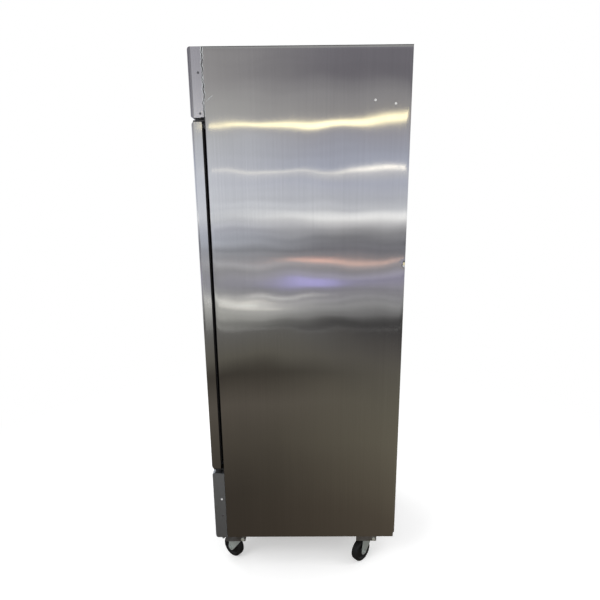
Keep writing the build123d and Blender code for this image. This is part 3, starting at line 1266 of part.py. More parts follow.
def shelf():
    """Welded wire shelf at its own origin, with its top at z = 0."""
    x, y0, y1 = X_SHELF - SHELF_ROD_R, Y_SHELF_FRONT + SHELF_ROD_R, Y_SHELF_BACK - SHELF_ROD_R
    z_rod = -SHELF_ROD_R - WELD_SINK
    corners = ((-x, y0, z_rod), (x, y0, z_rod), (x, y1, z_rod), (-x, y1, z_rod))
    path = FilletPolyline(*corners, radius=SHELF_CORNER, close=True)
    ring = sweep(Plane(origin=path @ 0, z_dir=path % 0) * Circle(SHELF_ROD_R), path=path)
    count = int(2 * (x - WIRE_MARGIN) / WIRE_PITCH)
    ends = (y0 - SHELF_ROD_R / 2, y1 + SHELF_ROD_R / 2)
    wires = [rod_y(WIRE_R, (i - count / 2) * WIRE_PITCH, *ends, -WIRE_R) for i in range(count + 1)]
    z_bar = -BAR_R - WELD_SINK - BAR_SINK
    bars = [rod_x(BAR_R, -x, x, y0 + (y1 - y0) * k / 4, z_bar) for k in (1, 2, 3)]
    return ring + wires + bars


def pilasters():
    """Four slotted standards for the shelf clips."""
    z0, z1 = Z_OPEN_LOW + PILASTER_ENDS[0], Z_OPEN_HIGH - PILASTER_ENDS[1]
    count = int((z1 - z0 - SLOT_MARGIN) / SLOT_PITCH)
    first = Z_OPEN_LOW + SLOT_PITCH - SLOT_START
    h, g = PILASTER_W / 2, PILASTER_W / 2 - PILASTER_T
    x0, x1 = X_PILASTER - CUT, X_PILASTER + PILASTER_T + CUT
    v, w = PILASTER_SLOT[0] / 2, PILASTER_SLOT[1] / 2
    found = []
    for y in PILASTER_Y:
        post = block(X_PILASTER, X_OPEN, y - h, y + h, z0, z1)
        post -= block(X_PILASTER + PILASTER_T, X_OPEN + CUT, y - g, y + g, z0 - CUT, z1 + CUT)
        levels = [first + SLOT_PITCH * i for i in range(count + 1)]
        post -= [block(x0, x1, y - v, y + v, z - w, z + w) for z in levels]
        found += [post, mirrored(post)]
    return group(found)


def shelf_clips():
    """Clips hooked in the pilasters, one under each corner of each shelf."""
    found = []
    x, x_in = X_PILASTER - FIT, X_PILASTER + HOOK_IN
    v, w = TONGUE_W / 2, HOOK_W / 2
    for level in shelf_levels():
        z = level - WELD_SINK - 2 * SHELF_ROD_R - FIT
        z_low = z - CLIP_T
        for y in PILASTER_Y:
            clip = block(X_PILASTER - TONGUE_L, x, y - v, y + v, z_low, z)
            clip += block(x - CLIP_T, x, y - v, y + v, z - CLIP_DROP, z)
            clip += block(x, x_in, y - w, y + w, z_low, z_low + HOOK_T)
            clip += block(x_in - CATCH_T, x_in, y - w, y + w, z_low, z + CATCH_RISE)
            found += [clip, mirrored(clip)]
    return group(found)


def led_lamp():
    """Lamp bar on the left wall, just inside the door."""
    thick, wide, length = LAMP
    middle = (Z_OPEN_LOW + Z_OPEN_HIGH) / 2
    z0, z1 = middle - length / 2, middle + length / 2
    bar = block(-X_OPEN, -X_OPEN + thick, LAMP_Y, LAMP_Y + wide, z0, z1)
    return fillet(bar.edges().group_by(Axis.X)[-1], LAMP_ROUND)


# ---------------------------------------------------------------- cord gland
GLAND_X = -X_SIDE + 115.0
GLAND_Z = Z_BASE + 40.0
GLAND_R = 11.0
GLAND_BORE = 4.5
GLAND_DEPTH = 12.0
GLAND_FLANGE = 4.0
GLAND_BARB = (2.0, 6.0)  # height and length


def cord_gland():
    """Strain-relief bush in the back panel."""
    y_in, y_out = Y_REAR - GLAND_DEPTH, Y_REAR + TRIM_PROUD
    barb, run = GLAND_BARB
    bush = rod_y(GLAND_R, GLAND_X, y_in, Y_REAR, GLAND_Z)
    bush += rod_y(GLAND_R + GLAND_FLANGE, GLAND_X, Y_REAR, y_out, GLAND_Z)
    bush += rod_y(GLAND_R + barb, GLAND_X, Y_REAR - run, Y_REAR - SKIN, GLAND_Z)
    return bush - rod_y(GLAND_BORE, GLAND_X, y_in - CUT, y_out + CUT, GLAND_Z)


# ---------------------------------------------------------------- all the parts
def build():
    """Every node of the refrigerator by name."""
    right = side_panel()
    made = {
        "side_panel_right": right,
        "side_panel_left": mirrored(right),
        "top_panel": top_panel(),
        "back_panel": back_panel(),
        "deck_panel": deck_panel(),
        "base_pan": base_pan(),
        "breaker_strips": breaker_strips(),
        "liner_walls": liner_walls(),
        "liner_ceiling": liner_ceiling(),
        "insulation": insulation(),
        "header_panel": header_panel(),
        "lower_grille": lower_grille(),
        "panel_brackets": panel_brackets(),
        "panel_screws": panel_screws(),
        "controller": controller(),
        "door_skin": door_skin(),
        "door_core": door_core(),
        "door_inner_pan": door_inner_pan(),
        "door_gasket": door_gasket(),
        "door_handle": door_handle(),
        "hinge_bushes": hinge_bushes(),
        "hinge_brackets": hinge_brackets(),
        "caster_rails": caster_rails(),
        "caster_bolts": caster_bolts(),
        "caster_plates": caster_plates(),
        "unit_tray": unit_tray(),
        "condenser_coil": condenser_coil(),
        "fan_shroud": fan_shroud(),
        "condenser_fan_motor": condenser_fan_motor(),
        "condenser_fan_blade": condenser_fan_blade(),
        "compressor": compressor(),
        "compressor_mounts": compressor_mounts(),
        "electrical_box": electrical_box(),
        "condensate_pan": condensate_pan(),
        "refrigerant_lines": refrigerant_lines(),
        "drain_hose": drain_hose(),
        "evaporator_housing": evaporator_housing(),
        "evaporator_coil": evaporator_coil(),
        "evaporator_fan_motor": evaporator_fan_motor(),
        "evaporator_fan_blade": evaporator_fan_blade(),
        "pilasters": pilasters(),
        "shelf_clips": shelf_clips(),
        "led_lamp": led_lamp(),
        "cord_gland": cord_gland(),
    }
    for index, name in enumerate(BUTTON_NAMES):
        made[name] = fillet(button_block(index, 0, 0).edges().group_by(Axis.Y)[0], BUTTON_ROUND)
    rack = shelf()
    for index, level in enumerate(shelf_levels()):
        made[f"shelf_{index + 1}"] = Pos(0, 0, level) * rack
    roller, lever = Pos(0, -TRAIL, WHEEL_R) * wheel(), brake_lever()
    for name, x, y, angle in caster_spots():
        braked = name.startswith("front")
        yoke = fork(braked)
        if name.endswith("left"):
            yoke = mirrored(yoke)
        made[f"caster_fork_{name}"] = placed(yoke, x, y, angle)
        made[f"caster_wheel_{name}"] = placed(roller, x, y, angle)
        if braked:
            hand = lever if name.endswith("right") else mirrored(lever)
            made[f"brake_lever_{name}"] = placed(hand, x, y, angle)
    return made


os.makedirs("parts", exist_ok=True)
for node, shape in build().items():
    export_step(shape, f"parts/{node}.step")
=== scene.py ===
# %% [markdown]
# A reach-in refrigerator: the frame first
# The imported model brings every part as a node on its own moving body. Everything that is
# made below is placed from the boxes of those nodes, so it lands where the part really is.

# %% Load the frame and keep its size
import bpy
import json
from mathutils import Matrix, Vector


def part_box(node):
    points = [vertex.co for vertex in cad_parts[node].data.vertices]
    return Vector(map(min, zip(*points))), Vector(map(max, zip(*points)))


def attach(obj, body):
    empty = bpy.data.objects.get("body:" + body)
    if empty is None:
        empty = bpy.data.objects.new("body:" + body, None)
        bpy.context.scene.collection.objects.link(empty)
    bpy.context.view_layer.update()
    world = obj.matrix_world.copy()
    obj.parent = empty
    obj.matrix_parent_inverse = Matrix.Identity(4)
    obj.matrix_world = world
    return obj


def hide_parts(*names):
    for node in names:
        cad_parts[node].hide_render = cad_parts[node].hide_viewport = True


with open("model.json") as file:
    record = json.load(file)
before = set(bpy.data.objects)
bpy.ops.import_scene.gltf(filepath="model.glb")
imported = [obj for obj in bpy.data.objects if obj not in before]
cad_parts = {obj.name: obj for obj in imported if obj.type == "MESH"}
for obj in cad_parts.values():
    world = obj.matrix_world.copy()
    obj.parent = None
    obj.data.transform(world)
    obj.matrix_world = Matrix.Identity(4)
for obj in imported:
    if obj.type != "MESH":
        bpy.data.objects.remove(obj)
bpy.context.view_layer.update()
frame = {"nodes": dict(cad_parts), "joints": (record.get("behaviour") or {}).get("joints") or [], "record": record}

import json
import math
import bmesh
import bpy
from mathutils import Euler, Matrix, Vector

# %% [markdown]
# The camera
# A cabinet this tall is looked at from eye height, with the lens tipped down a little, so
# its sides lean together towards the floor. A small lens shift keeps it in the frame.

# %% Place the camera
LENS = 27.0  # millimetres
SENSOR = 36.0  # millimetres
SHIFT = (-0.0102, 0.0445)
EYE = (2.104, 0.025, 1.509)
PITCH = math.radians(12.97)
YAW = math.radians(0.37)
ROLL = math.radians(0.47)
FAR_CLIP = 60.0


def place_camera():
    """A camera at eye height beside the cabinet, tipped down and very slightly rolled."""
    data = bpy.data.cameras.new("camera")
    data.lens = LENS
    data.sensor_width = SENSOR
    data.shift_x, data.shift_y = SHIFT
    data.clip_end = FAR_CLIP
    camera = bpy.data.objects.new("camera", data)
    bpy.context.scene.collection.objects.link(camera)
    level = Vector((-math.cos(YAW), -math.sin(YAW), 0.0))
    ahead = level * math.cos(PITCH) - Vector((0, 0, math.sin(PITCH)))
    right = ahead.cross(Vector((0, 0, 1))).normalized()
    up = right.cross(ahead)
    side = math.cos(ROLL) * right - math.sin(ROLL) * up
    top = math.sin(ROLL) * right + math.cos(ROLL) * up
    turn = Matrix((side, top, -ahead)).transposed().to_4x4()
    camera.matrix_world = Matrix.Translation(EYE) @ turn
    bpy.context.scene.camera = camera
    return camera


camera = place_camera()
print("camera at", tuple(round(v, 3) for v in camera.location), "lens", camera.data.lens)

# %% [markdown]
# Shader sums
# Finishes are built from noise, waves and a little arithmetic. Writing that arithmetic as
# ordinary expressions keeps a finish readable, so one small class wraps a socket and adds
# a Math node for each sum.

# %% A socket that can be used in sums
class Signal:
    """A number socket of a finish; each sum on it adds a Math node."""

    def __init__(self, tree, socket):
        self.tree = tree
        self.socket = socket

    def math(self, operation, *values):
        node = self.tree.nodes.new("ShaderNodeMath")
        node.operation = operation
        for place, value in zip(node.inputs, values):
            if isinstance(value, Signal):
                self.tree.links.new(value.socket, place)
            else:
                place.default_value = value
        return Signal(self.tree, node.outputs[0])

    def __add__(self, other):
        return self.math("ADD", self, other)

    def __sub__(self, other):
        return self.math("SUBTRACT", self, other)

    def __rsub__(self, other):
        return self.math("SUBTRACT", other, self)

    def __mul__(self, other):
        return self.math("MULTIPLY", self, other)

    def __truediv__(self, other):
        return self.math("DIVIDE", self, other)

    def __gt__(self, other):
        return self.math("GREATER_THAN", self, other)

    __radd__ = __add__
    __rmul__ = __mul__


# %% A finish and its nodes
class Finish:
    """A material with one Principled shader, and a short way to add nodes to it."""

    def __init__(self, name, **constants):
        self.material = bpy.data.materials.new(name)
        self.material.use_nodes = True
        self.tree = self.material.node_tree
        self.shader = self.tree.nodes["Principled BSDF"]
        self.place = self.node("ShaderNodeTexCoord", out="Object")
        for key, value in constants.items():
            self.shader.inputs[key.replace("_", " ")].default_value = value

    def node(self, kind, settings=None, out=0, **inputs):
        """Adds a node: its settings first, then a value or a link for each named socket."""
        node = self.tree.nodes.new(kind)
        for key, value in (settings or {}).items():
            if key == "stops":
                stops = node.color_ramp.elements
                while len(stops) < len(value):
                    stops.new(0.5)
                for stop, (position, colour) in zip(stops, value):
                    stop.position = position
                    stop.color = colour
            else:
                setattr(node, key, value)
        for key, value in inputs.items():
            if key[0] == "i" and key[1:].isdigit():
                socket = node.inputs[int(key[1:])]
            else:
                socket = node.inputs[key.replace("_", " ")]
            if isinstance(value, Signal):
                self.tree.links.new(value.socket, socket)
            else:
                socket.default_value = value
        return Signal(self.tree, node.outputs[out])

    def feed(self, name, signal):
        """Links a signal to one of the shader's sockets."""
        self.tree.links.new(signal.socket, self.shader.inputs[name])

    def noise(self, scale, detail=3.0, stretch=(1, 1, 1), rough=0.5):
        """Noise from 0 to 1, finer with a larger scale; the stretch has a scale for each axis."""
        place = self.node("ShaderNodeMapping", Vector=self.place, Scale=stretch)
        return self.node(
            "ShaderNodeTexNoise", out="Fac", Vector=place, Scale=scale, Detail=detail, Roughness=rough
        )

    def axes(self):
        """The object's own x, y and z."""
        return [self.node("ShaderNodeSeparateXYZ", Vector=self.place, out=i) for i in range(3)]

    def away(self):
        """The distance from the object's origin."""
        return self.node("ShaderNodeVectorMath", {"operation": "LENGTH"}, out="Value", i0=self.place)

    def ease(self, value, start, end, low=0.0, high=1.0):
        """A smooth step from the low level to the high one, while a value goes from start to end."""
        return self.node(
            "ShaderNodeMapRange", {"interpolation_type": "SMOOTHSTEP"},
            Value=value, From_Min=start, From_Max=end, To_Min=low, To_Max=high,
        )

    def ramp(self, rows, top, height):
        """A colour that follows a height, from rows of heights and colours."""
        stops = [(row_height / top, rgb(*colour)) for row_height, colour in rows]
        return self.node("ShaderNodeValToRGB", {"stops": stops}, Fac=height)

    def blend(self, amount, first, second):
        """A colour between two colours."""
        return self.node("ShaderNodeMix", {"data_type": "RGBA"}, out=2, i0=amount, i6=first, i7=second)

    def bump(self, height, distance, strength=1.0):
        """Turns a height into a bumped normal on the shader."""
        normal = self.node("ShaderNodeBump", Height=height, Distance=distance, Strength=strength)
        self.feed("Normal", normal)


def rgb(red, green, blue):
    """A colour with full alpha."""
    return (red, green, blue, 1.0)


def shaded(colour, factor):
    """A colour made darker or lighter by a factor."""
    return rgb(*[c * factor for c in colour])


print("helpers ready")

# %% [markdown]
# Brushed stainless sheet
# The sheet is ground with a belt before it is folded, which leaves fine scratches that all
# run one way. They show as streaks along the grain, and they smear reflections across it.
# Noise that is stretched a hundredfold along the grain gives the streaks; the shader's own
# anisotropy gives the smear. Soft, large noise adds the haze of wiping. On the header's side
# a darker strip is painted in front of its bend round to the front, with a dark crease line:
# a painted reflection and painted shade.

# %% Stainless finishes
# BEND_SOFT sets the painted dark strip and crease line of the header's bend.
BEND_SOFT = 0.0012  # half the width over which the bend's strip starts
SIDE_FACE_X = 0.36  # what lies further out is a side face
HAZE_DEPTH = 0.2


def grained(along, fast, slow):
    """Noise scales that are fast across the grain and slow along it."""
    return [slow if axis == along else fast for axis in "xyz"]


def paint_bend_shade(finish, colour, tint, bend):
    """A side face's colour with a painted darker strip in front of a bend and a painted dark crease line along it:
    painted reflection and shade.
    """
    across, ahead = finish.axes()[:2]
    strip = finish.node(
        "ShaderNodeMapRange", Value=ahead, From_Min=bend + BEND_SOFT, From_Max=bend - BEND_SOFT
    )
    painted_crease_line = (bend + BEND_SOFT - ahead > 0.0) * (ahead > bend - BEND_SOFT)
    beside = across.math("ABSOLUTE", across) > SIDE_FACE_X
    colour = finish.blend(strip * beside, colour, shaded(tint, 0.62))
    return finish.blend(painted_crease_line * beside * 0.6, colour, shaded(tint, 0.35))


def brushed(name, grain, tint=(0.61, 0.605, 0.59), rough=0.105, smear=1.0, bend=None):
    """Stainless sheet with its grain along x, y or z, and a painted darker strip (painted reflection and shade) in
    front of a bend.
    """
    finish = Finish(name, Metallic=1.0, Anisotropic=smear)
    scratch = finish.noise(1.0, detail=3.0, stretch=grained(grain, 520.0, 1.6), rough=0.7)
    streak = finish.noise(1.0, detail=3.0, stretch=grained(grain, 46.0, 0.35), rough=0.6)
    cloud = finish.noise(1.0, detail=2.0, stretch=grained(grain, 9.0, 0.5))
    haze = finish.noise(2.6, detail=6.0, rough=0.62)
    shade = 0.5 + (scratch - 0.5) * 0.5 + (streak - 0.5) * 0.1
    shade = shade + (cloud - 0.5) * 0.3 + (haze - 0.5) * HAZE_DEPTH
    light = rgb(*[min(1.0, c * 1.16) for c in tint])
    colour = finish.blend(shade, shaded(tint, 0.8), light)
    # Painted reflection and shade: a darker strip and a dark crease line in front of a bend.
    if bend is not None:
        colour = paint_bend_shade(finish, colour, tint, bend)
    finish.feed("Base Color", colour)
    finish.feed("Roughness", rough + (streak - 0.5) * 0.03 + (haze - 0.5) * 0.05)
    finish.bump(scratch + streak * 0.6, 0.000012, 0.6)
    return finish.material


side_steel = brushed("side_steel", "z")
door_steel = brushed("door_steel", "z", tint=(0.62, 0.62, 0.615), rough=0.15)
# Where the header's painted bend strip starts: 13 mm behind its front.
header_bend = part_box("header_panel")[0][1] + 0.013
# The header's bluish tint carries the colour of the reflections on its side: painted reflection colour on the same
# stainless.
header_tint = (0.75, 0.75, 0.795)
header_steel = brushed("header_steel", "z", header_tint, rough=0.26, smear=0.8, bend=header_bend)
# The lower panel's greenish blue tint carries the tone of its reflections: painted reflection colour.
lower_steel = brushed("lower_steel", "z", tint=(0.66, 0.71, 0.745), rough=0.5, smear=0.3)
liner_steel = brushed("liner_steel", "x", tint=(0.68, 0.685, 0.685), rough=0.36, smear=0.5)
print("steel finishes", side_steel.name, door_steel.name, header_steel.name, liner_steel.name)

# %% [markdown]
# Galvanised sheet
# The back, the base and the frame are left in plain galvanised steel. Zinc freezes in
# crystals a centimetre or so across, each with its own grey, so a cell pattern is the
# natural base, softened with noise.

# %% Galvanised and zinc-plated finishes
def galvanised(name, tint, cell=70.0, rough=0.42):
    """Zinc with a spangle of crystals."""
    finish = Finish(name, Metallic=1.0)
    crystal = finish.node("ShaderNodeTexVoronoi", out="Color", Vector=finish.place, Scale=cell)
    grey = finish.node("ShaderNodeSeparateColor", Color=crystal)
    cloud = finish.noise(14.0, detail=5.0)
    amount = grey * 0.55 + cloud * 0.45
    finish.feed("Base Color", finish.blend(amount, shaded(tint, 0.72), rgb(*tint)))
    finish.feed("Roughness", rough + (grey - 0.5) * 0.14)
    finish.bump(cloud, 0.0002, 0.3)
    return finish.material


def zinc_plated(name, tint, rough=0.34, metal=0.9):
    """Plated pressings: a dull bright coat, darker in random patches."""
    finish = Finish(name, Metallic=metal)
    cloud = finish.noise(60.0, detail=5.0, rough=0.65)
    speck = finish.noise(420.0, detail=2.0)
    amount = cloud * 0.7 + speck * 0.3
    finish.feed("Base Color", finish.blend(amount, shaded(tint, 0.6), rgb(*tint)))
    finish.feed("Roughness", rough + (cloud - 0.5) * 0.25)
    finish.bump(speck, 0.00005, 0.4)
    return finish.material


galvanised_sheet = galvanised("galvanised_sheet", (0.55, 0.57, 0.58))
zinc_pressing = zinc_plated("zinc_pressing", (0.62, 0.68, 0.65), metal=0.5)
# Two finishes for one and the same screw head: a white one that is a painted highlight, and a dark one that is
# painted shade.
glint_painted_head = zinc_plated("glint_painted_head", (1.0, 1.0, 0.98), rough=0.3, metal=0.0)
shade_painted_head = zinc_plated("shade_painted_head", (0.3, 0.3, 0.31), rough=0.45)
zinc_bolt = zinc_plated("zinc_bolt", (0.8, 0.8, 0.7), metal=0.6)
print("zinc finishes", galvanised_sheet.name, zinc_pressing.name, glint_painted_head.name)

# %% [markdown]
# Plastics, rubber and the rest
# Moulded plastic has a fine spark-eroded texture; rubber is duller and dusty. Each gets two
# sizes of noise, one for its colour and one for its skin.

# %% Moulded, rubber and painted finishes
def moulded(name, colour, rough=0.45, grain=900.0, depth=0.00004, wear=0.1, coat=0.0):
    """Plastic, rubber or enamel with a fine skin and slight patchiness."""
    finish = Finish(name, Coat_Weight=coat)
    patch = finish.noise(18.0, detail=4.0)
    skin = finish.noise(grain, detail=2.0)
    light = rgb(*[min(1.0, c * (1 + wear) + wear * 0.02) for c in colour])
    finish.feed("Base Color", finish.blend(patch, shaded(colour, 1 - wear), light))
    finish.feed("Roughness", rough + (patch - 0.5) * 0.12 + (skin - 0.5) * 0.1)
    finish.bump(skin, depth, 0.6)
    return finish.material


black_moulding = moulded("black_moulding", (0.022, 0.022, 0.024), 0.42)
grey_button = moulded("grey_button", (0.35, 0.37, 0.38), 0.4)
white_nylon = moulded("white_nylon", (0.78, 0.78, 0.75), 0.38)
breaker_plastic = moulded("breaker_plastic", (0.62, 0.63, 0.62), 0.4)
gasket_vinyl = moulded("gasket_vinyl", (0.012, 0.012, 0.012), 0.5, wear=0.2)
wheel_rubber = moulded("wheel_rubber", (0.005, 0.005, 0.005), 0.55, 500.0, 0.0001, 0.3)
black_enamel = moulded("black_enamel", (0.018, 0.018, 0.018), 0.3, 500.0, 0.00008, 0.2, 0.3)
coated_wire = moulded("coated_wire", (0.7, 0.71, 0.7), 0.3, 700.0, 0.00003, 0.05, 0.4)
grey_hose = moulded("grey_hose", (0.36, 0.37, 0.38), 0.45)
foam_filling = moulded("foam_filling", (0.8, 0.7, 0.45), 0.85, 300.0, 0.0005, 0.15)
seam_sealant = moulded("seam_sealant", (0.52, 0.54, 0.55), 0.4, 200.0, 0.0002, 0.25)
seam_dirt = moulded("seam_dirt", (0.035, 0.033, 0.03), 0.7, 200.0, 0.0002, 0.3)
dark_lens = moulded("dark_lens", (0.01, 0.008, 0.009), 0.08, 40.0, 0.00001, 0.3, 1.0)
white_mark = moulded("white_mark", (0.8, 0.8, 0.78), 0.5)


def fins(name, tint, pitch):
    """Rolled aluminium fins, with tarnish in patches."""
    finish = Finish(name, Metallic=1.0)
    cloud = finish.noise(25.0, detail=5.0)
    line = finish.noise(1.0, detail=2.0, stretch=(pitch, 30.0, 30.0))
    finish.feed("Base Color", finish.blend(cloud * 0.6 + line * 0.4, shaded(tint, 0.6), rgb(*tint)))
    finish.feed("Roughness", 0.38 + (cloud - 0.5) * 0.2)
    return finish.material


def lit(name, colour, strength):
    """A lit display segment, its glow a little uneven."""
    finish = Finish(name, Emission_Strength=strength, Roughness=0.4)
    cloud = finish.noise(700.0, detail=2.0)
    finish.feed("Base Color", finish.blend(cloud, shaded(colour, 0.3), shaded(colour, 0.5)))
    finish.feed("Emission Color", finish.blend(cloud, shaded(colour, 0.8), rgb(*colour)))
    return finish.material


fin_aluminium = fins("fin_aluminium", (0.75, 0.76, 0.77), 700.0)
copper_tube = fins("copper_tube", (0.8, 0.42, 0.26), 60.0)
display_glow = lit("display_glow", (1.0, 0.1, 0.04), 1.6)
lamp_diffuser = lit("lamp_diffuser", (1.0, 0.98, 0.93), 6.0)
print("moulded finishes ready")

# %% [markdown]
# Modelling tools
# Each piece starts as a primitive at its size and place and is shaped in edit mode. These
# few helpers keep that readable: one picks an object, one picks its faces or edges by a
# test on where they lie, and one applies a modifier.

# %% Small helpers for modelling
def deselect():
    """Leaves nothing selected."""
    bpy.ops.object.select_all(action="DESELECT")


def alone(piece):
    """Selects one object and makes it the active one."""
    deselect()
    piece.select_set(True)
    bpy.context.view_layer.objects.active = piece


def settled(name):
    """Names what was just added and puts its place into its mesh."""
    piece = bpy.context.object
    piece.name = piece.data.name = name
    alone(piece)
    bpy.ops.object.transform_apply(location=True, rotation=True, scale=True)
    return piece


def add_block(name, low, high):
    """A block between two corners."""
    deselect()
    bpy.ops.mesh.primitive_cube_add(size=1.0, location=(Vector(low) + Vector(high)) / 2)
    bpy.context.object.scale = Vector(high) - Vector(low)
    return settled(name)


def add_rod(name, radius, start, end, sides=32):
    """A round bar from one point to another."""
    start, end = Vector(start), Vector(end)
    turn = (end - start).to_track_quat("Z", "Y").to_euler()
    deselect()
    bpy.ops.mesh.primitive_cylinder_add(
        vertices=sides, radius=radius, depth=(end - start).length,
        location=(start + end) / 2, rotation=turn,
    )
    return settled(name)


def add_outline(name, points):
    """A closed outline: a circle whose corners are put at the points."""
    deselect()
    bpy.ops.mesh.primitive_circle_add(vertices=len(points), radius=0.01)
    piece = settled(name)
    for corner, point in zip(piece.data.vertices, points):
        corner.co = point
    return piece


def open_mesh(piece):
    """Edit mode on one object."""
    alone(piece)
    bpy.ops.object.mode_set(mode="EDIT")


def close_mesh():
    """Back to object mode."""
    bpy.ops.object.mode_set(mode="OBJECT")


def middle(row):
    """The middle of a face or an edge."""
    return sum((v.co for v in row.verts), Vector()) / len(row.verts)


def pick(piece, kind, test):
    """In edit mode, selects the faces or edges that pass a test."""
    bpy.ops.mesh.select_mode(type=kind)
    bpy.ops.mesh.select_all(action="DESELECT")
    mesh = bmesh.from_edit_mesh(piece.data)
    for row in list(filter(test, mesh.faces if kind == "FACE" else mesh.edges)):
        row.select_set(True)
    bmesh.update_edit_mesh(piece.data)


def round_off(width, segments):
    """Bevels the selected edges."""
    bpy.ops.mesh.bevel(offset=width, offset_type="OFFSET", segments=segments, affect="EDGES")


def drag(value):
    """Extrudes what is selected and moves it."""
    bpy.ops.mesh.extrude_region_move(TRANSFORM_OT_translate={"value": value})


def modify(piece, kind, **settings):
    """Adds a modifier and applies it."""
    alone(piece)
    step = piece.modifiers.new(kind.lower(), kind)
    for key, value in settings.items():
        setattr(step, key, value)
    bpy.ops.object.modifier_apply(modifier=step.name)


def cloud_push(piece, name, size, direction, strength, depth=2, group=""):
    """Pushes a piece's points to and fro by a cloud texture."""
    clouds = bpy.data.textures.new(name, "CLOUDS")
    clouds.noise_scale = size
    clouds.noise_depth = depth
    modify(
        piece, "DISPLACE", texture=clouds, texture_coords="LOCAL", direction=direction,
        strength=strength, mid_level=0.5, vertex_group=group,
    )


def carve(piece, tool):
    """Cuts one object out of another."""
    modify(piece, "BOOLEAN", operation="DIFFERENCE", solver="EXACT", object=tool)
    bpy.data.objects.remove(tool)


def merged(name, parts):
    """Joins several objects into one."""
    deselect()
    for part in parts:
        part.select_set(True)
    bpy.context.view_layer.objects.active = parts[0]
    bpy.ops.object.join()
    piece = bpy.context.object
    piece.name = piece.data.name = name
    return piece


def twin(piece, name, matrix):
    """A copy with its own mesh, moved by a matrix."""
    other = piece.copy()
    other.data = piece.data.copy()
    other.name = other.data.name = name
    bpy.context.scene.collection.objects.link(other)
    other.data.transform(matrix)
    if matrix.determinant() < 0:
        other.data.flip_normals()
    return other


def outward(piece):
    """Merges doubles and turns the faces outwards."""
    open_mesh(piece)
    bpy.ops.mesh.select_all(action="SELECT")
    bpy.ops.mesh.remove_doubles(threshold=0.00002)
    bpy.ops.mesh.normals_make_consistent(inside=False)
    close_mesh()


def fit(piece, body, finish, stands_for=()):
    """Smooths a piece, gives it its finish, and lets it ride on its body."""
    piece.data.materials.clear()
    piece.data.materials.append(finish)
    alone(piece)
    bpy.ops.object.shade_smooth_by_angle(angle=math.radians(32))
    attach(piece, body)
    if stands_for:
        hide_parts(*stands_for)
    print(piece.name, len(piece.data.polygons), "faces on", body)


def solids_of(node):
    """The boxes of a node's separate solids, measured on a merged copy of its mesh."""
    mesh = bmesh.new()
    mesh.from_mesh(frame["nodes"][node].data)
    bmesh.ops.remove_doubles(mesh, verts=mesh.verts, dist=0.000001)
    left, boxes = set(mesh.verts), []
    while left:
        queue, found = [left.pop()], []
        while queue:
            corner = queue.pop()
            found.append(corner.co.copy())
            near = [e.other_vert(corner) for e in corner.link_edges]
            queue += [v for v in near if v in left]
            left.difference_update(near)
        boxes.append(tuple(tuple(edge(c[i] for c in found) for i in range(3)) for edge in (min, max)))
    mesh.free()
    return sorted(boxes)


print("modelling helpers ready")

# %% [markdown]
# The side sheets
# Each side is one thin sheet, folded in at its edges and pushed out a little by the foam
# behind it, so its reflections run in waves. A flat box could never show that. A fine grid
# is folded by extruding its rim, the fold is rounded with a bevel, and a cloud texture
# lifts the middle by a fraction of a millimetre.

# %% Fold the side sheets
SHEET = 0.0008
FOLD = 0.0025
FLANGE = 0.02
RIPPLE = 0.0016
GRID_STEP = 0.0168  # wider than the largest fold's round
NOTCH = (0.0055, 0.023)  # cut from the rear lower corner: along y, up z
HINGE_HOLE_R = 0.00215
CUT = 0.01  # how far a cutting tool reaches past the sheet
SIDE_WAVES = (0.24, 0.09)  # size of the waves, and how far from the rim they are full
DOOR_WAVES = (0.3, 0.1)
DENT_Z = 1.353
DENT_REACH = 0.04
DENT_SPREAD = 0.009
DENT_DEPTH = 0.0016
SAME = 1e-5  # two places this near are one


def ripple(piece, side_axis, strength, waves, depth):
    """Waves a sheet's broad face, fading out towards its folded rim."""
    size, reach = waves
    low = [min(v.co[i] for v in piece.data.vertices) for i in range(3)]
    high = [max(v.co[i] for v in piece.data.vertices) for i in range(3)]
    group = piece.vertex_groups.new(name="broad_face")
    across = [i for i in range(3) if i != side_axis]
    for vertex in piece.data.vertices:
        rim = min(min(vertex.co[i] - low[i], high[i] - vertex.co[i]) for i in across)
        share = max(0.0, min(1.0, rim / reach))
        group.add([vertex.index], share * share * (3 - 2 * share), "REPLACE")
    cloud_push(piece, piece.name, size, "XYZ"[side_axis], strength, depth, "broad_face")
    piece.vertex_groups.clear()


def is_fold(edge, back):
    """Whether an edge is a sharp fold that runs across the direction of folding."""
    sharp = not edge.is_boundary and edge.calc_face_angle(0.0) > 1.0
    return sharp and abs((edge.verts[0].co - edge.verts[1].co).dot(back)) < 1e-9


def folded_sheet(name, turn, centre, height, width, back, rim_round, segments):
    """A sheet whose four edges are folded back, with a rounded fold."""
    deselect()
    bpy.ops.mesh.primitive_grid_add(
        x_subdivisions=round(height / GRID_STEP), y_subdivisions=round(width / GRID_STEP),
        size=1.0, location=centre, rotation=turn,
    )
    bpy.context.object.scale = (height, width, 1.0)
    sheet = settled(name)
    open_mesh(sheet)
    pick(sheet, "EDGE", lambda e: e.is_boundary)
    drag(back)
    pick(sheet, "EDGE", lambda e: is_fold(e, Vector(back)))
    round_off(rim_round, segments)
    close_mesh()
    return sheet


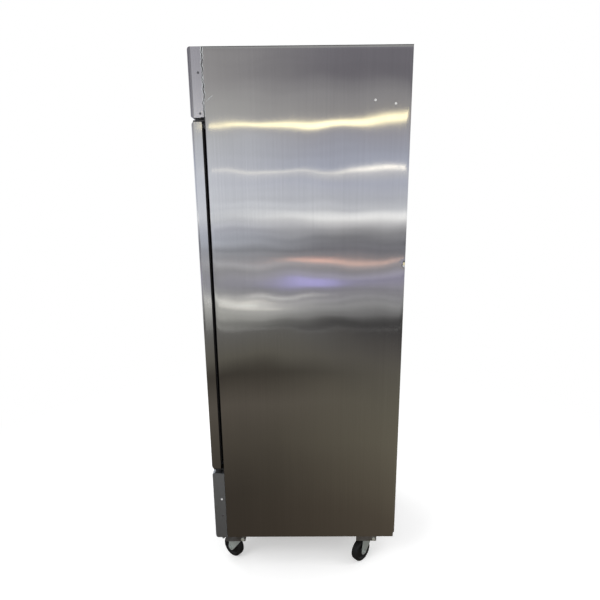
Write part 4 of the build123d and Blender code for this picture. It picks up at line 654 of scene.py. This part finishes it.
def side_sheet(side, node):
    """One outer side, with its sealing strip, corner notch and spare hinge holes."""
    low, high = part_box(node)
    face, seat = (high[0], low[0]) if side > 0 else (low[0], high[0])
    centre = (face, (low[1] + high[1]) / 2, (low[2] + high[2]) / 2)
    turn = (0, side * math.pi / 2, 0)
    tall, wide = high[2] - low[2], high[1] - low[1]
    sheet = folded_sheet(node + "_sheet", turn, centre, tall, wide, (-side * FLANGE, 0, 0), FOLD, 4)
    open_mesh(sheet)
    pick(sheet, "EDGE", lambda e: e.is_boundary and abs(middle(e).y - low[1]) < SAME)
    drag((seat - (face - side * FLANGE), 0, 0))
    close_mesh()
    ripple(sheet, 0, RIPPLE * side, SIDE_WAVES, 1)
    dent(sheet, Vector((face, high[1] - 0.001, DENT_Z)), side)
    modify(sheet, "SOLIDIFY", thickness=SHEET, offset=-1.0)
    notch_low = (min(face, seat) - CUT, high[1] - NOTCH[0], low[2] - CUT)
    notch_high = (max(face, seat) + CUT, high[1] + CUT, low[2] + NOTCH[1])
    carve(sheet, add_block("notch_tool", notch_low, notch_high))
    holes = [
        add_rod("hole_tool", HINGE_HOLE_R, (x, low[1] - CUT, z), (x, low[1] + CUT, z), 16)
        for x, z in hinge_spots(side)
    ]
    carve(sheet, merged("hole_tools", holes))
    fit(sheet, "cabinet", side_steel, (node,))


def dent(sheet, place, side):
    """A knock at the rear edge: the mesh is refined there and pushed in a little."""
    open_mesh(sheet)
    pick(sheet, "FACE", lambda f: (middle(f) - place).length < DENT_REACH)
    bpy.ops.mesh.subdivide(number_cuts=3)
    close_mesh()
    group = sheet.vertex_groups.new(name="dent")
    for vertex in sheet.data.vertices:
        share = math.exp(-((vertex.co - place).length / DENT_SPREAD) ** 2)
        group.add([vertex.index], share, "REPLACE")
    modify(
        sheet, "DISPLACE", direction="X", strength=-DENT_DEPTH * side, mid_level=0.0,
        vertex_group="dent",
    )
    sheet.vertex_groups.clear()


def hinge_spots(side):
    """Where the hinge screws go, read from the screws on the hinge side."""
    return [
        (side * (low[0] + high[0]) / 2, (low[2] + high[2]) / 2)
        for low, high in solids_of("panel_screws")
        if high[1] - low[1] > high[0] - low[0]
    ]


for side, node in ((1, "side_panel_right"), (-1, "side_panel_left")):
    side_sheet(side, node)

# %% [markdown]
# The door's outer skin
# The door is a shallow pan of the same steel with generous rounds, filled with foam. It is
# folded like the sides, and its recess is cut through where the pull sits.

# %% Fold the door skin
DOOR_ROUND = 0.012
CUP_MARGIN = 0.005


def door_outer():
    """The door's skin, with the opening for the pull."""
    low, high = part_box("door_skin")
    centre = ((low[0] + high[0]) / 2, low[1], (low[2] + high[2]) / 2)
    turn = Euler((math.pi / 2, 0, 0)).to_matrix() @ Euler((0, 0, math.pi / 2)).to_matrix()
    tall, wide, deep = high[2] - low[2], high[0] - low[0], high[1] - low[1]
    turn = turn.to_euler()
    skin = folded_sheet("door_outer_skin", turn, centre, tall, wide, (0, deep, 0), DOOR_ROUND, 8)
    ripple(skin, 1, RIPPLE * 0.6, DOOR_WAVES, 0)
    modify(skin, "SOLIDIFY", thickness=SHEET, offset=-1.0)
    cup_low, cup_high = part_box("door_handle")
    tool = add_block(
        "cup_tool",
        (cup_low[0] + CUP_MARGIN, low[1] - CUT, cup_low[2] + CUP_MARGIN),
        (cup_high[0] - CUP_MARGIN, low[1] + 2 * CUT, cup_high[2] - CUP_MARGIN),
    )
    carve(skin, tool)
    fit(skin, "door", door_steel, ("door_skin",))


door_outer()

# %% [markdown]
# The door gasket
# The seal is one vinyl extrusion with a base, a folded bellows and a bulb that holds the
# magnet, welded at the corners. Its outline is drawn once in the corner's mitre, and each
# extrusion is turned over to the next corner by scaling with minus one.

# %% Extrude the gasket round the door
GASKET_DEPTH = 12.5
GASKET_OUTLINE = (
    # millimetres: from the outer edge inwards, from the door outwards
    (0, 0), (22, 0), (22, 2.4), (16.5, 3.2), (14.6, 4.6), (17.4, 6.2), (14.6, 7.8),
    (20.4, 8.6), (21.7, 9.8), (21.7, 11.6), (20.6, GASKET_DEPTH), (1.4, GASKET_DEPTH),
    (0.3, 11.6), (0.3, 9.8), (1.6, 8.6), (7.4, 7.8), (4.6, 6.2), (7.4, 4.6), (5.5, 3.2), (0, 2.4),
)


def gasket():
    """One closed extrusion with four mitred corners."""
    low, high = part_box("door_gasket")
    deep = (high[1] - low[1]) / GASKET_DEPTH
    points = [(low[0] + w / 1000, low[1] + d * deep, low[2] + w / 1000) for w, d in GASKET_OUTLINE]
    piece = add_outline("door_gasket_bellows", points)
    pivot = ((low[0] + high[0]) / 2, 0, (low[2] + high[2]) / 2)
    open_mesh(piece)
    bpy.ops.mesh.select_all(action="SELECT")
    for flip in ((-1, 1, 1), (1, 1, -1), (-1, 1, 1), (1, 1, -1)):
        bpy.ops.mesh.extrude_region()
        bpy.ops.transform.resize(value=flip, center_override=pivot)
    close_mesh()
    outward(piece)
    fit(piece, "door", gasket_vinyl, ("door_gasket",))


gasket()

# %% [markdown]
# Sealant in the header seam
# Sealant is wiped into the joint between the header's side and the side sheet by hand, so
# it is never straight: two pale ridges with a dirty groove between them. Each is a thin rod
# cut into short lengths, with its rings pushed sideways and in and out by cloud textures.

# %% Lay the sealant
SEAM_RIDGE = 0.003  # groove to the ridge beside it
GROOVE_R = 0.0009
RIDGE_R = 0.001
SEAM_END = 0.002  # header's edge to the seam's end
SMEAR = ((0.009, 0.052), (0.031, 0.07))  # its ends: behind the groove, over the header's foot
BEAD_STEP = 0.003
LUMPS = (("Y", 0.0022, 0.007), ("NORMAL", 0.0022, 0.012))  # direction, depth and size


def bead(name, radius, start, end, finish, wander=0.013):
    """A hand-laid bead between two points, which wanders from its line and is lumpy."""
    piece = add_rod(name, radius, start, end, 12)
    long = (Vector(end) - Vector(start)).length
    open_mesh(piece)
    pick(piece, "EDGE", lambda e: e.calc_length() > long * 0.9)
    bpy.ops.mesh.subdivide(number_cuts=max(8, round(long / BEAD_STEP)))
    close_mesh()
    for direction, strength, size in (("Y", wander, 0.021), *LUMPS):
        cloud_push(piece, name + direction, size, direction, strength)
    fit(piece, "cabinet", finish)


def seam(side, label):
    """The groove, its two ridges, and a smear beside them."""
    low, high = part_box("header_panel")
    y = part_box("side_panel_right")[0][1]
    x = side * high[0]
    z0, z1 = low[2] + SEAM_END, high[2] - SEAM_END
    bead("seam_groove_" + label, GROOVE_R, (x, y, z0), (x, y, z1), seam_dirt)
    for place, shift in (("front", -SEAM_RIDGE), ("rear", SEAM_RIDGE)):
        bead(f"seam_{place}_{label}", RIDGE_R, (x, y + shift, z0), (x, y + shift, z1), seam_sealant)
    start, end = [(x, y + back, z0 + up) for back, up in SMEAR]
    bead("seam_smear_" + label, GROOVE_R, start, end, seam_sealant, 0.004)


for side, label in ((1, "right"), (-1, "left")):
    seam(side, label)

# %% [markdown]
# Dark strips that paint the shade in the gaps
# The slots over and under the door are kept black by a thin black strip under the header and
# one on the lower panel's top: painted shade, a dark sheet put where the gap is in shade. Each
# is a flat block with its long edges rounded.

# %% Lay the dark strips of painted shade
STRIP_T = 0.0012
STRIP_END = 0.001  # strip's end to the cabinet's side
STRIP_FRONT = 0.0125  # clear of the panel's rounded front edge
STRIP_REAR = 0.007


def shade_strip(name, panel, at_top):
    """A dark strip of painted shade on a front panel's edge, clear of the hinge bracket's leg."""
    low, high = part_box(panel)
    z0 = high[2] if at_top else low[2] - STRIP_T
    corner = (low[0] + STRIP_END, low[1] + STRIP_FRONT, z0)
    far_corner = (high[0] - STRIP_END, high[1] - STRIP_REAR, z0 + STRIP_T)
    piece = add_block(name, corner, far_corner)
    open_mesh(piece)
    pick(piece, "EDGE", lambda e: abs(e.verts[0].co.x - e.verts[1].co.x) > 0.1)
    round_off(STRIP_T * 0.35, 3)
    close_mesh()
    fit(piece, "cabinet", gasket_vinyl)


# Painted shade: dark strips under the header and on the lower panel's top.
shade_strip("header_shade_strip", "header_panel", False)
shade_strip("lower_shade_strip", "lower_grille", True)

# %% [markdown]
# Screws
# Every panel screw is the same pan head with a cross recess. One is shaped from a short
# cylinder, with its rim bevelled and two crossed slots cut out, and then copied to each
# place that the frame gives. Some copies get a white finish, a painted highlight, and the
# others a dark one, painted shade.

# %% Shape one screw and copy it
SLOT_W = 0.0009
HEAD_H = 0.0013
SHANK_R = 0.0021
FIRST_TURN = 0.7  # how far the first screw's slot is turned, in radians
NEXT_TURN = 0.37  # and each next one


def screw_master(head_r, head_h, shank_r, length):
    """A pan-head screw on the X axis; its head starts at x = 0."""
    head = add_rod("screw_head", head_r, (0, 0, 0), (head_h, 0, 0), 40)
    open_mesh(head)
    pick(head, "EDGE", lambda e: all(abs(v.co.x - head_h) < 1e-6 for v in e.verts))
    round_off(head_h * 0.75, 5)
    close_mesh()
    arm = head_r * 0.5
    for spread in ((SLOT_W / 2, arm), (arm, SLOT_W / 2)):
        slot_low, slot_high = (head_h * 0.35, -spread[0], -spread[1]), (head_h * 2, *spread)
        carve(head, add_block("slot_tool", slot_low, slot_high))
    shank = add_rod("screw_shank", shank_r, (-length, 0, 0), (0.0001, 0, 0), 20)
    return merged("screw_master", [head, shank])


def panel_screws():
    """All the panel screws, copied from one master: painted shade on those on the header, the hinges and lowest
    down, a painted highlight on the rest.
    """
    boxes = solids_of("panel_screws")
    header_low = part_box("header_panel")[0]
    cabinet_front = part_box("side_panel_right")[0][1]
    lowest = min(low[2] for low, high in boxes if high[0] - low[0] > high[1] - low[1])
    master, bright, dull = None, [], []
    for index, (low, high) in enumerate(boxes):
        size = Vector(high) - Vector(low)
        centre = (Vector(low) + Vector(high)) / 2
        sideways = size.x > size.y
        length = max(size.x, size.y)
        if master is None:
            master = screw_master(min(size.y, size.z) / 2, HEAD_H, SHANK_R, length - HEAD_H)
        tilt = Matrix.Rotation(FIRST_TURN + NEXT_TURN * index, 4, "X")
        if sideways:
            side = 1 if centre.x > 0 else -1
            tip = Vector((side * (max(abs(low[0]), abs(high[0])) - HEAD_H), centre.y, centre.z))
            turn = Matrix.Identity(4) if side > 0 else Matrix.Rotation(math.pi, 4, "Z")
        else:
            tip = Vector((centre.x, low[1] + HEAD_H, centre.z))
            turn = Matrix.Rotation(-math.pi / 2, 4, "Z")
        on_header = centre.y < cabinet_front and centre.z > header_low[2]
        # Painted shade on the screws on the header, on the hinges and lowest down; a painted highlight on the
        # rest.
        is_shade_painted = not sideways or on_header or low[2] < lowest + SLOT_W
        copy = twin(master, "screw_copy", Matrix.Translation(tip) @ turn @ tilt)
        (dull if is_shade_painted else bright).append(copy)
    bpy.data.objects.remove(master)
    # The white finish is a painted highlight, the dark one painted shade.
    fit(merged("glint_painted_screws", bright), "cabinet", glint_painted_head, ("panel_screws",))
    fit(merged("shade_painted_screws", dull), "cabinet", shade_painted_head, ("panel_screws",))


panel_screws()

# %% [markdown]
# Caster wheels
# A caster wheel is a hard tyre moulded over a core, round at the tread and stepped towards
# the hub. Anything turned like that is easiest as a spin: half of its section is drawn
# once and swept round the axle.

# %% Spin a wheel and set four of them
WHEEL_SECTION = (
    # millimetres: radius, half width
    (5.06, 17.4), (12.6, 17.4), (14.2, 16.6), (15.0, 15.2), (16.2, 10.6), (17.4, 9.4),
    (33.2, 9.4), (34.6, 10.4), (36.0, 13.6), (37.2, 14.9), (44.0, 15.0), (46.6, 14.5),
    (48.6, 12.9), (49.7, 10.4), (50.0, 7.0),
)


def wheel_master():
    """One wheel on the X axis, spun from its section."""
    half = [(w / 1000, 0, r / 1000) for r, w in WHEEL_SECTION]
    outline = half + [(-x, y, z) for x, y, z in reversed(half)]
    piece = add_outline("wheel_master", outline)
    open_mesh(piece)
    bpy.ops.mesh.select_all(action="SELECT")
    bpy.ops.mesh.spin(steps=72, angle=2 * math.pi, center=(0, 0, 0), axis=(1, 0, 0))
    close_mesh()
    outward(piece)
    return piece


def wheels():
    """Copies the wheel to each caster's axle."""
    master = wheel_master()
    for joint in frame["joints"]:
        if not joint["name"].startswith("wheel_spin"):
            continue
        corner = joint["name"][len("wheel_spin_"):]
        axis = joint["axis"]
        turn = Matrix.Rotation(math.atan2(axis[1], axis[0]), 4, "Z")
        piece = twin(master, "wheel_tyre_" + corner, Matrix.Translation(joint["pos_m"]) @ turn)
        fit(piece, joint["child"], wheel_rubber, ("caster_wheel_" + corner,))
    bpy.data.objects.remove(master)


wheels()

# %% [markdown]
# The display
# Behind the controller's window lies a dark lens with two lit digits. A digit is seven
# short bars, so a table of which bars are lit makes any figure.

# %% Light the display and mark the buttons
DIGIT_H = 0.0115
DIGIT_W = 0.0066
BAR = 0.0011
BAR_PROUD = 0.00012
MARK_R = 0.0012
DIGIT_APART = 0.0052  # window's middle to a figure's middle
WINDOW_LOW = (0.0072, 0.0005, 0.0092)  # from the controller's low corner
WINDOW_HIGH = (0.0508, 0.0012)
LIT_BARS = {
    "3": "top upper_right middle lower_right bottom",
    "8": "top upper_right upper_left middle lower_right lower_left bottom",
}


def digit(figure, x, z, y):
    """The lit bars of one figure."""
    w, h = DIGIT_W / 2, DIGIT_H / 2
    places = {
        "top": (0, h, 1), "middle": (0, 0, 1), "bottom": (0, -h, 1),
        "upper_left": (-w, h / 2, 0), "upper_right": (w, h / 2, 0),
        "lower_left": (-w, -h / 2, 0), "lower_right": (w, -h / 2, 0),
    }
    bars = []
    for name in LIT_BARS[figure].split():
        px, pz, flat = places[name]
        half = (w - BAR * 0.7, BAR / 2) if flat else (BAR / 2, h / 2 - BAR * 0.7)
        bar_low = (x + px - half[0], y - BAR_PROUD, z + pz - half[1])
        bar = add_block("bar", bar_low, (x + px + half[0], y, z + pz + half[1]))
        open_mesh(bar)
        pick(bar, "FACE", lambda f: f.normal.y < -0.5)
        bpy.ops.mesh.inset(thickness=BAR * 0.18, depth=0.00004)
        close_mesh()
        bars.append(bar)
    return bars


def display():
    """The lens in the window, and the figures on it."""
    low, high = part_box("controller")
    window_low = tuple(edge + inset for edge, inset in zip(low, WINDOW_LOW))
    window_high = (low[0] + WINDOW_HIGH[0], low[1] + WINDOW_HIGH[1], high[2] - WINDOW_LOW[2])
    lens = add_block("display_lens", window_low, window_high)
    open_mesh(lens)
    pick(lens, "EDGE", lambda e: abs(e.verts[0].co.y - e.verts[1].co.y) > 0.0003)
    round_off(0.0012, 4)
    close_mesh()
    fit(lens, "cabinet", dark_lens)
    z = (window_low[2] + window_high[2]) / 2
    x = (window_low[0] + window_high[0]) / 2
    bars = digit("3", x - DIGIT_APART, z, window_low[1]) + digit("8", x + DIGIT_APART, z, window_low[1])
    fit(merged("display_figures", bars), "cabinet", display_glow)


def button_mark(name, kind):
    """A raised mark on a button: an arrow up, an arrow down or a dot."""
    low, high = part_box(name)
    x, z = (low[0] + high[0]) / 2, (low[2] + high[2]) / 2
    sides = 24 if kind == "dot" else 3
    mark = add_rod(name + "_mark", MARK_R, (x, low[1], z), (x, low[1] - BAR_PROUD, z), sides)
    open_mesh(mark)
    pick(mark, "FACE", lambda f: f.normal.y < -0.5)
    bpy.ops.mesh.inset(thickness=0.0002, depth=0.00004)
    if kind == "down":
        bpy.ops.mesh.select_all(action="SELECT")
        bpy.ops.transform.resize(value=(1, 1, -1), center_override=(x, low[1], z))
    close_mesh()
    outward(mark)
    fit(mark, name + "_body", white_mark)


display()
for name, kind in (("button_up", "up"), ("button_set", "dot"), ("button_down", "down")):
    button_mark(name, kind)

# %% [markdown]
# Dressing the nodes
# Every node of the frame carries a material slot name. One table gives each slot its
# finish, and a few nodes that need another grain or colour are set by name. The hinge
# brackets are set black so that the gaps round the door read dark, which is painted shade.
# Folded and moulded parts also get a live bevel, so their edges catch the light.

# %% Give each node its finish
SLOT_FINISH = {
    "stainless": side_steel, "galvanised": galvanised_sheet, "liner_sheet": liner_steel,
    "foam": foam_filling, "breaker_plastic": breaker_plastic, "gasket_vinyl": gasket_vinyl,
    "nylon": white_nylon, "black_plastic": black_moulding, "button_plastic": grey_button,
    "zinc_plate": zinc_pressing, "bright_screw": glint_painted_head, "wheel_rubber": wheel_rubber,
    "black_enamel": black_enamel, "fin_aluminium": fin_aluminium, "copper_line": copper_tube,
    "grey_hose": grey_hose, "mount_rubber": wheel_rubber, "coated_wire": coated_wire,
    "lamp_diffuser": lamp_diffuser,
}
NODE_FINISH = {
    "door_skin": door_steel, "header_panel": header_steel, "lower_grille": lower_steel,
    # Black hinge brackets: painted shade, so the gaps over and under the door read dark.
    "hinge_brackets": black_enamel, "caster_bolts": zinc_bolt,
}
ROUNDED = {
    "door_handle": 0.0006, "controller": 0.0004, "hinge_brackets": 0.0005, "caster_plates": 0.0006,
}
MOVING_PARTS = ("caster_fork", "brake_lever", "button_")
ROUNDED.update({name: 0.0007 for name in frame["nodes"] if name.startswith(MOVING_PARTS)})
node_slot = {entry["node"]: entry["material_slot"] for entry in frame["record"]["subparts"]}
for name, node in frame["nodes"].items():
    finish = NODE_FINISH.get(name, SLOT_FINISH[node_slot[name]])
    node.data.materials.clear()
    node.data.materials.append(finish)
    if name in ROUNDED:
        weld = node.modifiers.new("weld", "WELD")
        weld.merge_threshold = 0.00001
        edge = node.modifiers.new("soft_edge", "BEVEL")
        edge.width = ROUNDED[name]
        edge.segments = 2
        edge.limit_method = "ANGLE"
        edge.angle_limit = math.radians(40)
        edge.use_clamp_overlap = True
print("dressed", len(frame["nodes"]), "nodes, rounded", len(ROUNDED))

# %% [markdown]
# The studio
# Metal shows what stands round it, so the room matters as much as the lamps. A white floor
# and a white world make the background. Tall cards that only reflections can see stand
# round the cabinet: grey above, a bright softbox band at head height, dim below, and a
# dark floor. One warm lamp strip and a few small glows give the steel something to catch.

# %% Cards that only reflections see
WALL = 5.0
WALL_TOP = 4.4
UNDER_FLOOR = 0.002  # the floor's card lies this far under the floor
OFF_WALL = 0.05  # the lamp cards stand this far in front of their wall
BLACK = rgb(0, 0, 0)
FRONT_WALL = (
    # height in metres, colour: the front half of the room
    (0.0, (0.28, 0.28, 0.27)), (0.14, (0.47, 0.47, 0.45)), (0.42, (0.74, 0.74, 0.71)),
    (0.62, (0.46, 0.46, 0.5)), (0.9, (0.48, 0.48, 0.5)), (1.3, (0.53, 0.56, 0.64)),
    (1.42, (0.6, 0.62, 0.71)), (1.56, (0.92, 0.95, 1.02)), (2.1, (0.87, 0.9, 1.0)),
    (2.6, (0.73, 0.75, 0.8)), (2.92, (0.6, 0.6, 0.6)), (3.3, (0.47, 0.46, 0.47)),
    (4.4, (0.4, 0.39, 0.4)),
)
REAR_WALL = (
    # height in metres, colour: the middle and the rear of the room
    (0.0, (0.075, 0.073, 0.075)), (0.14, (0.12, 0.118, 0.12)), (0.3, (0.38, 0.38, 0.39)),
    (0.56, (0.37, 0.36, 0.41)), (0.74, (0.47, 0.45, 0.6)), (0.9, (0.41, 0.4, 0.43)),
    (1.14, (0.225, 0.225, 0.255)), (1.32, (0.33, 0.33, 0.36)), (1.48, (0.66, 0.66, 0.69)),
    (1.58, (1.42, 1.42, 1.43)), (1.68, (0.78, 0.8, 0.86)), (2.06, (0.62, 0.65, 0.78)),
    (2.17, (0.78, 0.79, 0.84)), (2.26, (0.56, 0.6, 0.74)), (2.66, (0.47, 0.47, 0.54)),
    (2.95, (0.42, 0.41, 0.42)), (3.16, (0.38, 0.37, 0.39)), (3.34, (0.22, 0.21, 0.24)),
    (4.4, (0.26, 0.25, 0.29)),
)
FRONT_FLOOR = (
    # distance from the middle in metres, colour: the front half of the room
    (0.0, (0.048, 0.036, 0.027)), (1.0, (0.06, 0.05, 0.04)), (1.6, (0.098, 0.085, 0.068)),
    (2.3, (0.135, 0.118, 0.098)), (3.1, (0.068, 0.06, 0.05)), (3.7, (0.16, 0.15, 0.126)),
    (4.9, (0.185, 0.18, 0.172)),
)
REAR_FLOOR = (
    # distance from the middle in metres, colour: the middle and the rear of the room
    (0.0, (0.104, 0.079, 0.057)), (0.8, (0.155, 0.129, 0.096)), (1.0, (0.188, 0.162, 0.121)),
    (1.6, (0.205, 0.186, 0.141)), (2.3, (0.178, 0.165, 0.129)), (3.2, (0.16, 0.149, 0.127)),
    (3.9, (0.122, 0.113, 0.106)), (4.9, (0.08, 0.076, 0.077)),
)
RIGHT_WALL_GLOWS = (
    # name, two places along the wall, two heights, colour
    ("amber_glow", 0.04, 0.22, 0.985, 1.035, (4.6, 1.9, 1.35)),
    ("amber_spill", -0.3, 1.3, 0.985, 1.03, (1.25, 0.85, 0.72)),
    ("violet_glow", -0.25, 0.35, 0.64, 0.76, (0.75, 0.7, 1.35)),
    ("low_strip_1", -1.15, -0.55, 0.45, 0.464, (2.1, 2.0, 1.85)),
    ("low_strip_2", -1.3, -0.35, 0.36, 0.378, (1.7, 1.65, 1.55)),
    ("low_strip_3", -0.9, 0.1, 0.515, 0.53, (1.8, 1.8, 1.75)),
    ("low_spot", -0.96, -0.9, 0.39, 0.43, (7.0, 7.0, 6.6)),
    ("thin_strip_1", -1.4, 0.1, 2.19, 2.212, (1.65, 1.6, 1.5)),
    ("thin_strip_2", 0.1, 0.6, 2.194, 2.214, (1.3, 1.28, 1.2)),
    ("thin_strip_3", 0.6, 1.6, 2.195, 2.236, (2.7, 2.55, 2.3)),
)
WARM_STRIP_LOW = (
    # place along the wall, height: the strip's lower edge
    (-1.6, 2.738), (-0.6, 2.73), (0.4, 2.732), (0.85, 2.755), (1.15, 2.795), (1.6, 2.86),
)
WARM_STRIP_HIGH = (
    # and back along its upper edge
    (1.6, 2.95), (1.15, 2.885), (0.85, 2.845), (0.4, 2.815), (-0.6, 2.78), (-1.6, 2.756),
)


def glowing(name):
    """A finish that only glows."""
    return Finish(name, Base_Color=BLACK, Specular_IOR_Level=0.0, Emission_Strength=1.0)


def room_wall(name, along):
    """Wall glow: two upright ramps, blended along the wall."""
    glow = glowing(name)
    parts = glow.axes()
    drift = glow.noise(0.9, detail=2.0) - 0.5
    height = parts[2] / WALL_TOP + drift * 0.012
    front = glow.ramp(FRONT_WALL, WALL_TOP, height)
    rear = glow.ramp(REAR_WALL, WALL_TOP, height)
    share = glow.ease(parts[along], -1.5, 0.5)
    shelf = glow.noise(1.0, detail=4.0, stretch=(0.25, 0.25, 13.0), rough=0.7)
    low = glow.ease(parts[2], 1.3, 2.0, 1.0, 0.15)
    glow.feed("Emission Color", glow.blend(share, front, rear))
    glow.feed("Emission Strength", 1.0 + (shelf - 0.5) * low * 2.6)
    return glow.material


def room_floor():
    """Floor glow: dark and warm by the cabinet, greyer away from it."""
    glow = glowing("room_floor")
    away = glow.away() / WALL
    near_front = glow.ramp(FRONT_FLOOR, WALL, away)
    near_rear = glow.ramp(REAR_FLOOR, WALL, away)
    share = glow.ease(glow.axes()[1], -0.6, 1.2)
    glow.feed("Emission Color", glow.blend(share, near_front, near_rear))
    return glow.material


def plain_glow(name, colour):
    """A card glow that is a little uneven."""
    glow = glowing(name)
    cloud = glow.noise(1.5, detail=2.0)
    glow.feed("Emission Color", glow.blend(cloud, shaded(colour, 0.85), shaded(colour, 1.15)))
    return glow.material


def card(name, corners, material):
    """A flat card that only glossy rays meet."""
    mesh = bpy.data.meshes.new(name)
    mesh.from_pydata([Vector(c) for c in corners], [], [tuple(range(len(corners)))])
    board = bpy.data.objects.new(name, mesh)
    bpy.context.scene.collection.objects.link(board)
    mesh.materials.append(material)
    for ray in ("camera", "diffuse", "shadow", "transmission"):
        setattr(board, "visible_" + ray, False)


def room():
    """Four walls, a ceiling and a floor."""
    for side in range(4):
        turn = Matrix.Rotation(side * math.pi / 2, 4, "Z")
        ring = [(WALL, -WALL, 0), (WALL, WALL, 0), (WALL, WALL, WALL_TOP), (WALL, -WALL, WALL_TOP)]
        name = f"room_wall_{side}"
        card(name, [turn @ Vector(c) for c in ring], room_wall(name, 1 - side % 2))
    ring = [(-WALL, -WALL), (WALL, -WALL), (WALL, WALL), (-WALL, WALL)]
    ceiling = plain_glow("room_ceiling", (0.42, 0.42, 0.43))
    card("room_ceiling", [(x, y, WALL_TOP) for x, y in ring], ceiling)
    card("room_floor", [(x, y, -UNDER_FLOOR) for x, y in ring], room_floor())


def wall_glows():
    """The lamp strip and the small glows on the right-hand wall."""
    x = WALL - OFF_WALL
    warm = plain_glow("warm_strip", (3.1, 2.75, 1.75))
    card("warm_strip", [(x, y, z) for y, z in WARM_STRIP_LOW + WARM_STRIP_HIGH], warm)
    for name, y0, y1, z0, z1, colour in RIGHT_WALL_GLOWS:
        card(name, [(x, y0, z0), (x, y1, z0), (x, y1, z1), (x, y0, z1)], plain_glow(name, colour))


room()
wall_glows()
print("room ready, with", len(RIGHT_WALL_GLOWS) + 1, "lamp cards on its right wall")


# %% The floor, the world and the lamps
def pale_floor():
    """A white floor that still takes the cabinet's shadow."""
    deselect()
    bpy.ops.mesh.primitive_plane_add(size=60.0, location=(0, 0, 0))
    floor = settled("floor")
    finish = Finish("floor_paper", Roughness=0.9, Specular_IOR_Level=0.0)
    near = finish.ease(finish.away(), 0.9, 2.6, 1.0, 0.0)
    finish.feed("Base Color", finish.blend(near, BLACK, rgb(0.8, 0.8, 0.8)))
    finish.feed("Emission Color", finish.blend(near, rgb(1, 1, 1), rgb(0.42, 0.42, 0.42)))
    finish.shader.inputs["Emission Strength"].default_value = 1.0
    floor.data.materials.append(finish.material)
    floor.visible_glossy = False
    floor.visible_diffuse = False


def white_world():
    """White to the camera and to shiny things, softer to everything else."""
    world = bpy.data.worlds.new("studio")
    bpy.context.scene.world = world
    world.use_nodes = True
    tree = world.node_tree
    back = tree.nodes["Background"]
    ray = tree.nodes.new("ShaderNodeLightPath")
    seen = Signal(tree, ray.outputs["Is Camera Ray"]) + Signal(tree, ray.outputs["Is Glossy Ray"])
    seen = seen + Signal(tree, ray.outputs["Is Transmission Ray"])
    level = seen * 0.35 + 0.65
    tree.links.new(level.math("MINIMUM", level, 1.0).socket, back.inputs["Strength"])
    back.inputs["Color"].default_value = rgb(1, 1, 1)


def softbox(name, place, aim, size, power):
    """A square soft lamp that shiny things do not show."""
    lamp = bpy.data.lights.new(name, "AREA")
    lamp.shape = "SQUARE"
    lamp.size = size
    lamp.energy = power
    holder = bpy.data.objects.new(name, lamp)
    bpy.context.scene.collection.objects.link(holder)
    holder.location = place
    holder.rotation_euler = (Vector(aim) - Vector(place)).to_track_quat("-Z", "Y").to_euler()
    holder.visible_glossy = False
    holder.visible_camera = False


pale_floor()
white_world()
softbox("key", (3.2, -3.0, 3.6), (0, 0, 1.0), 2.4, 90.0)
softbox("fill", (-3.4, -2.2, 2.6), (0, 0, 1.0), 2.4, 50.0)
softbox("rim", (0.5, 3.6, 3.4), (0, 0, 1.2), 2.0, 50.0)
bpy.context.scene.view_settings.view_transform = "Standard"
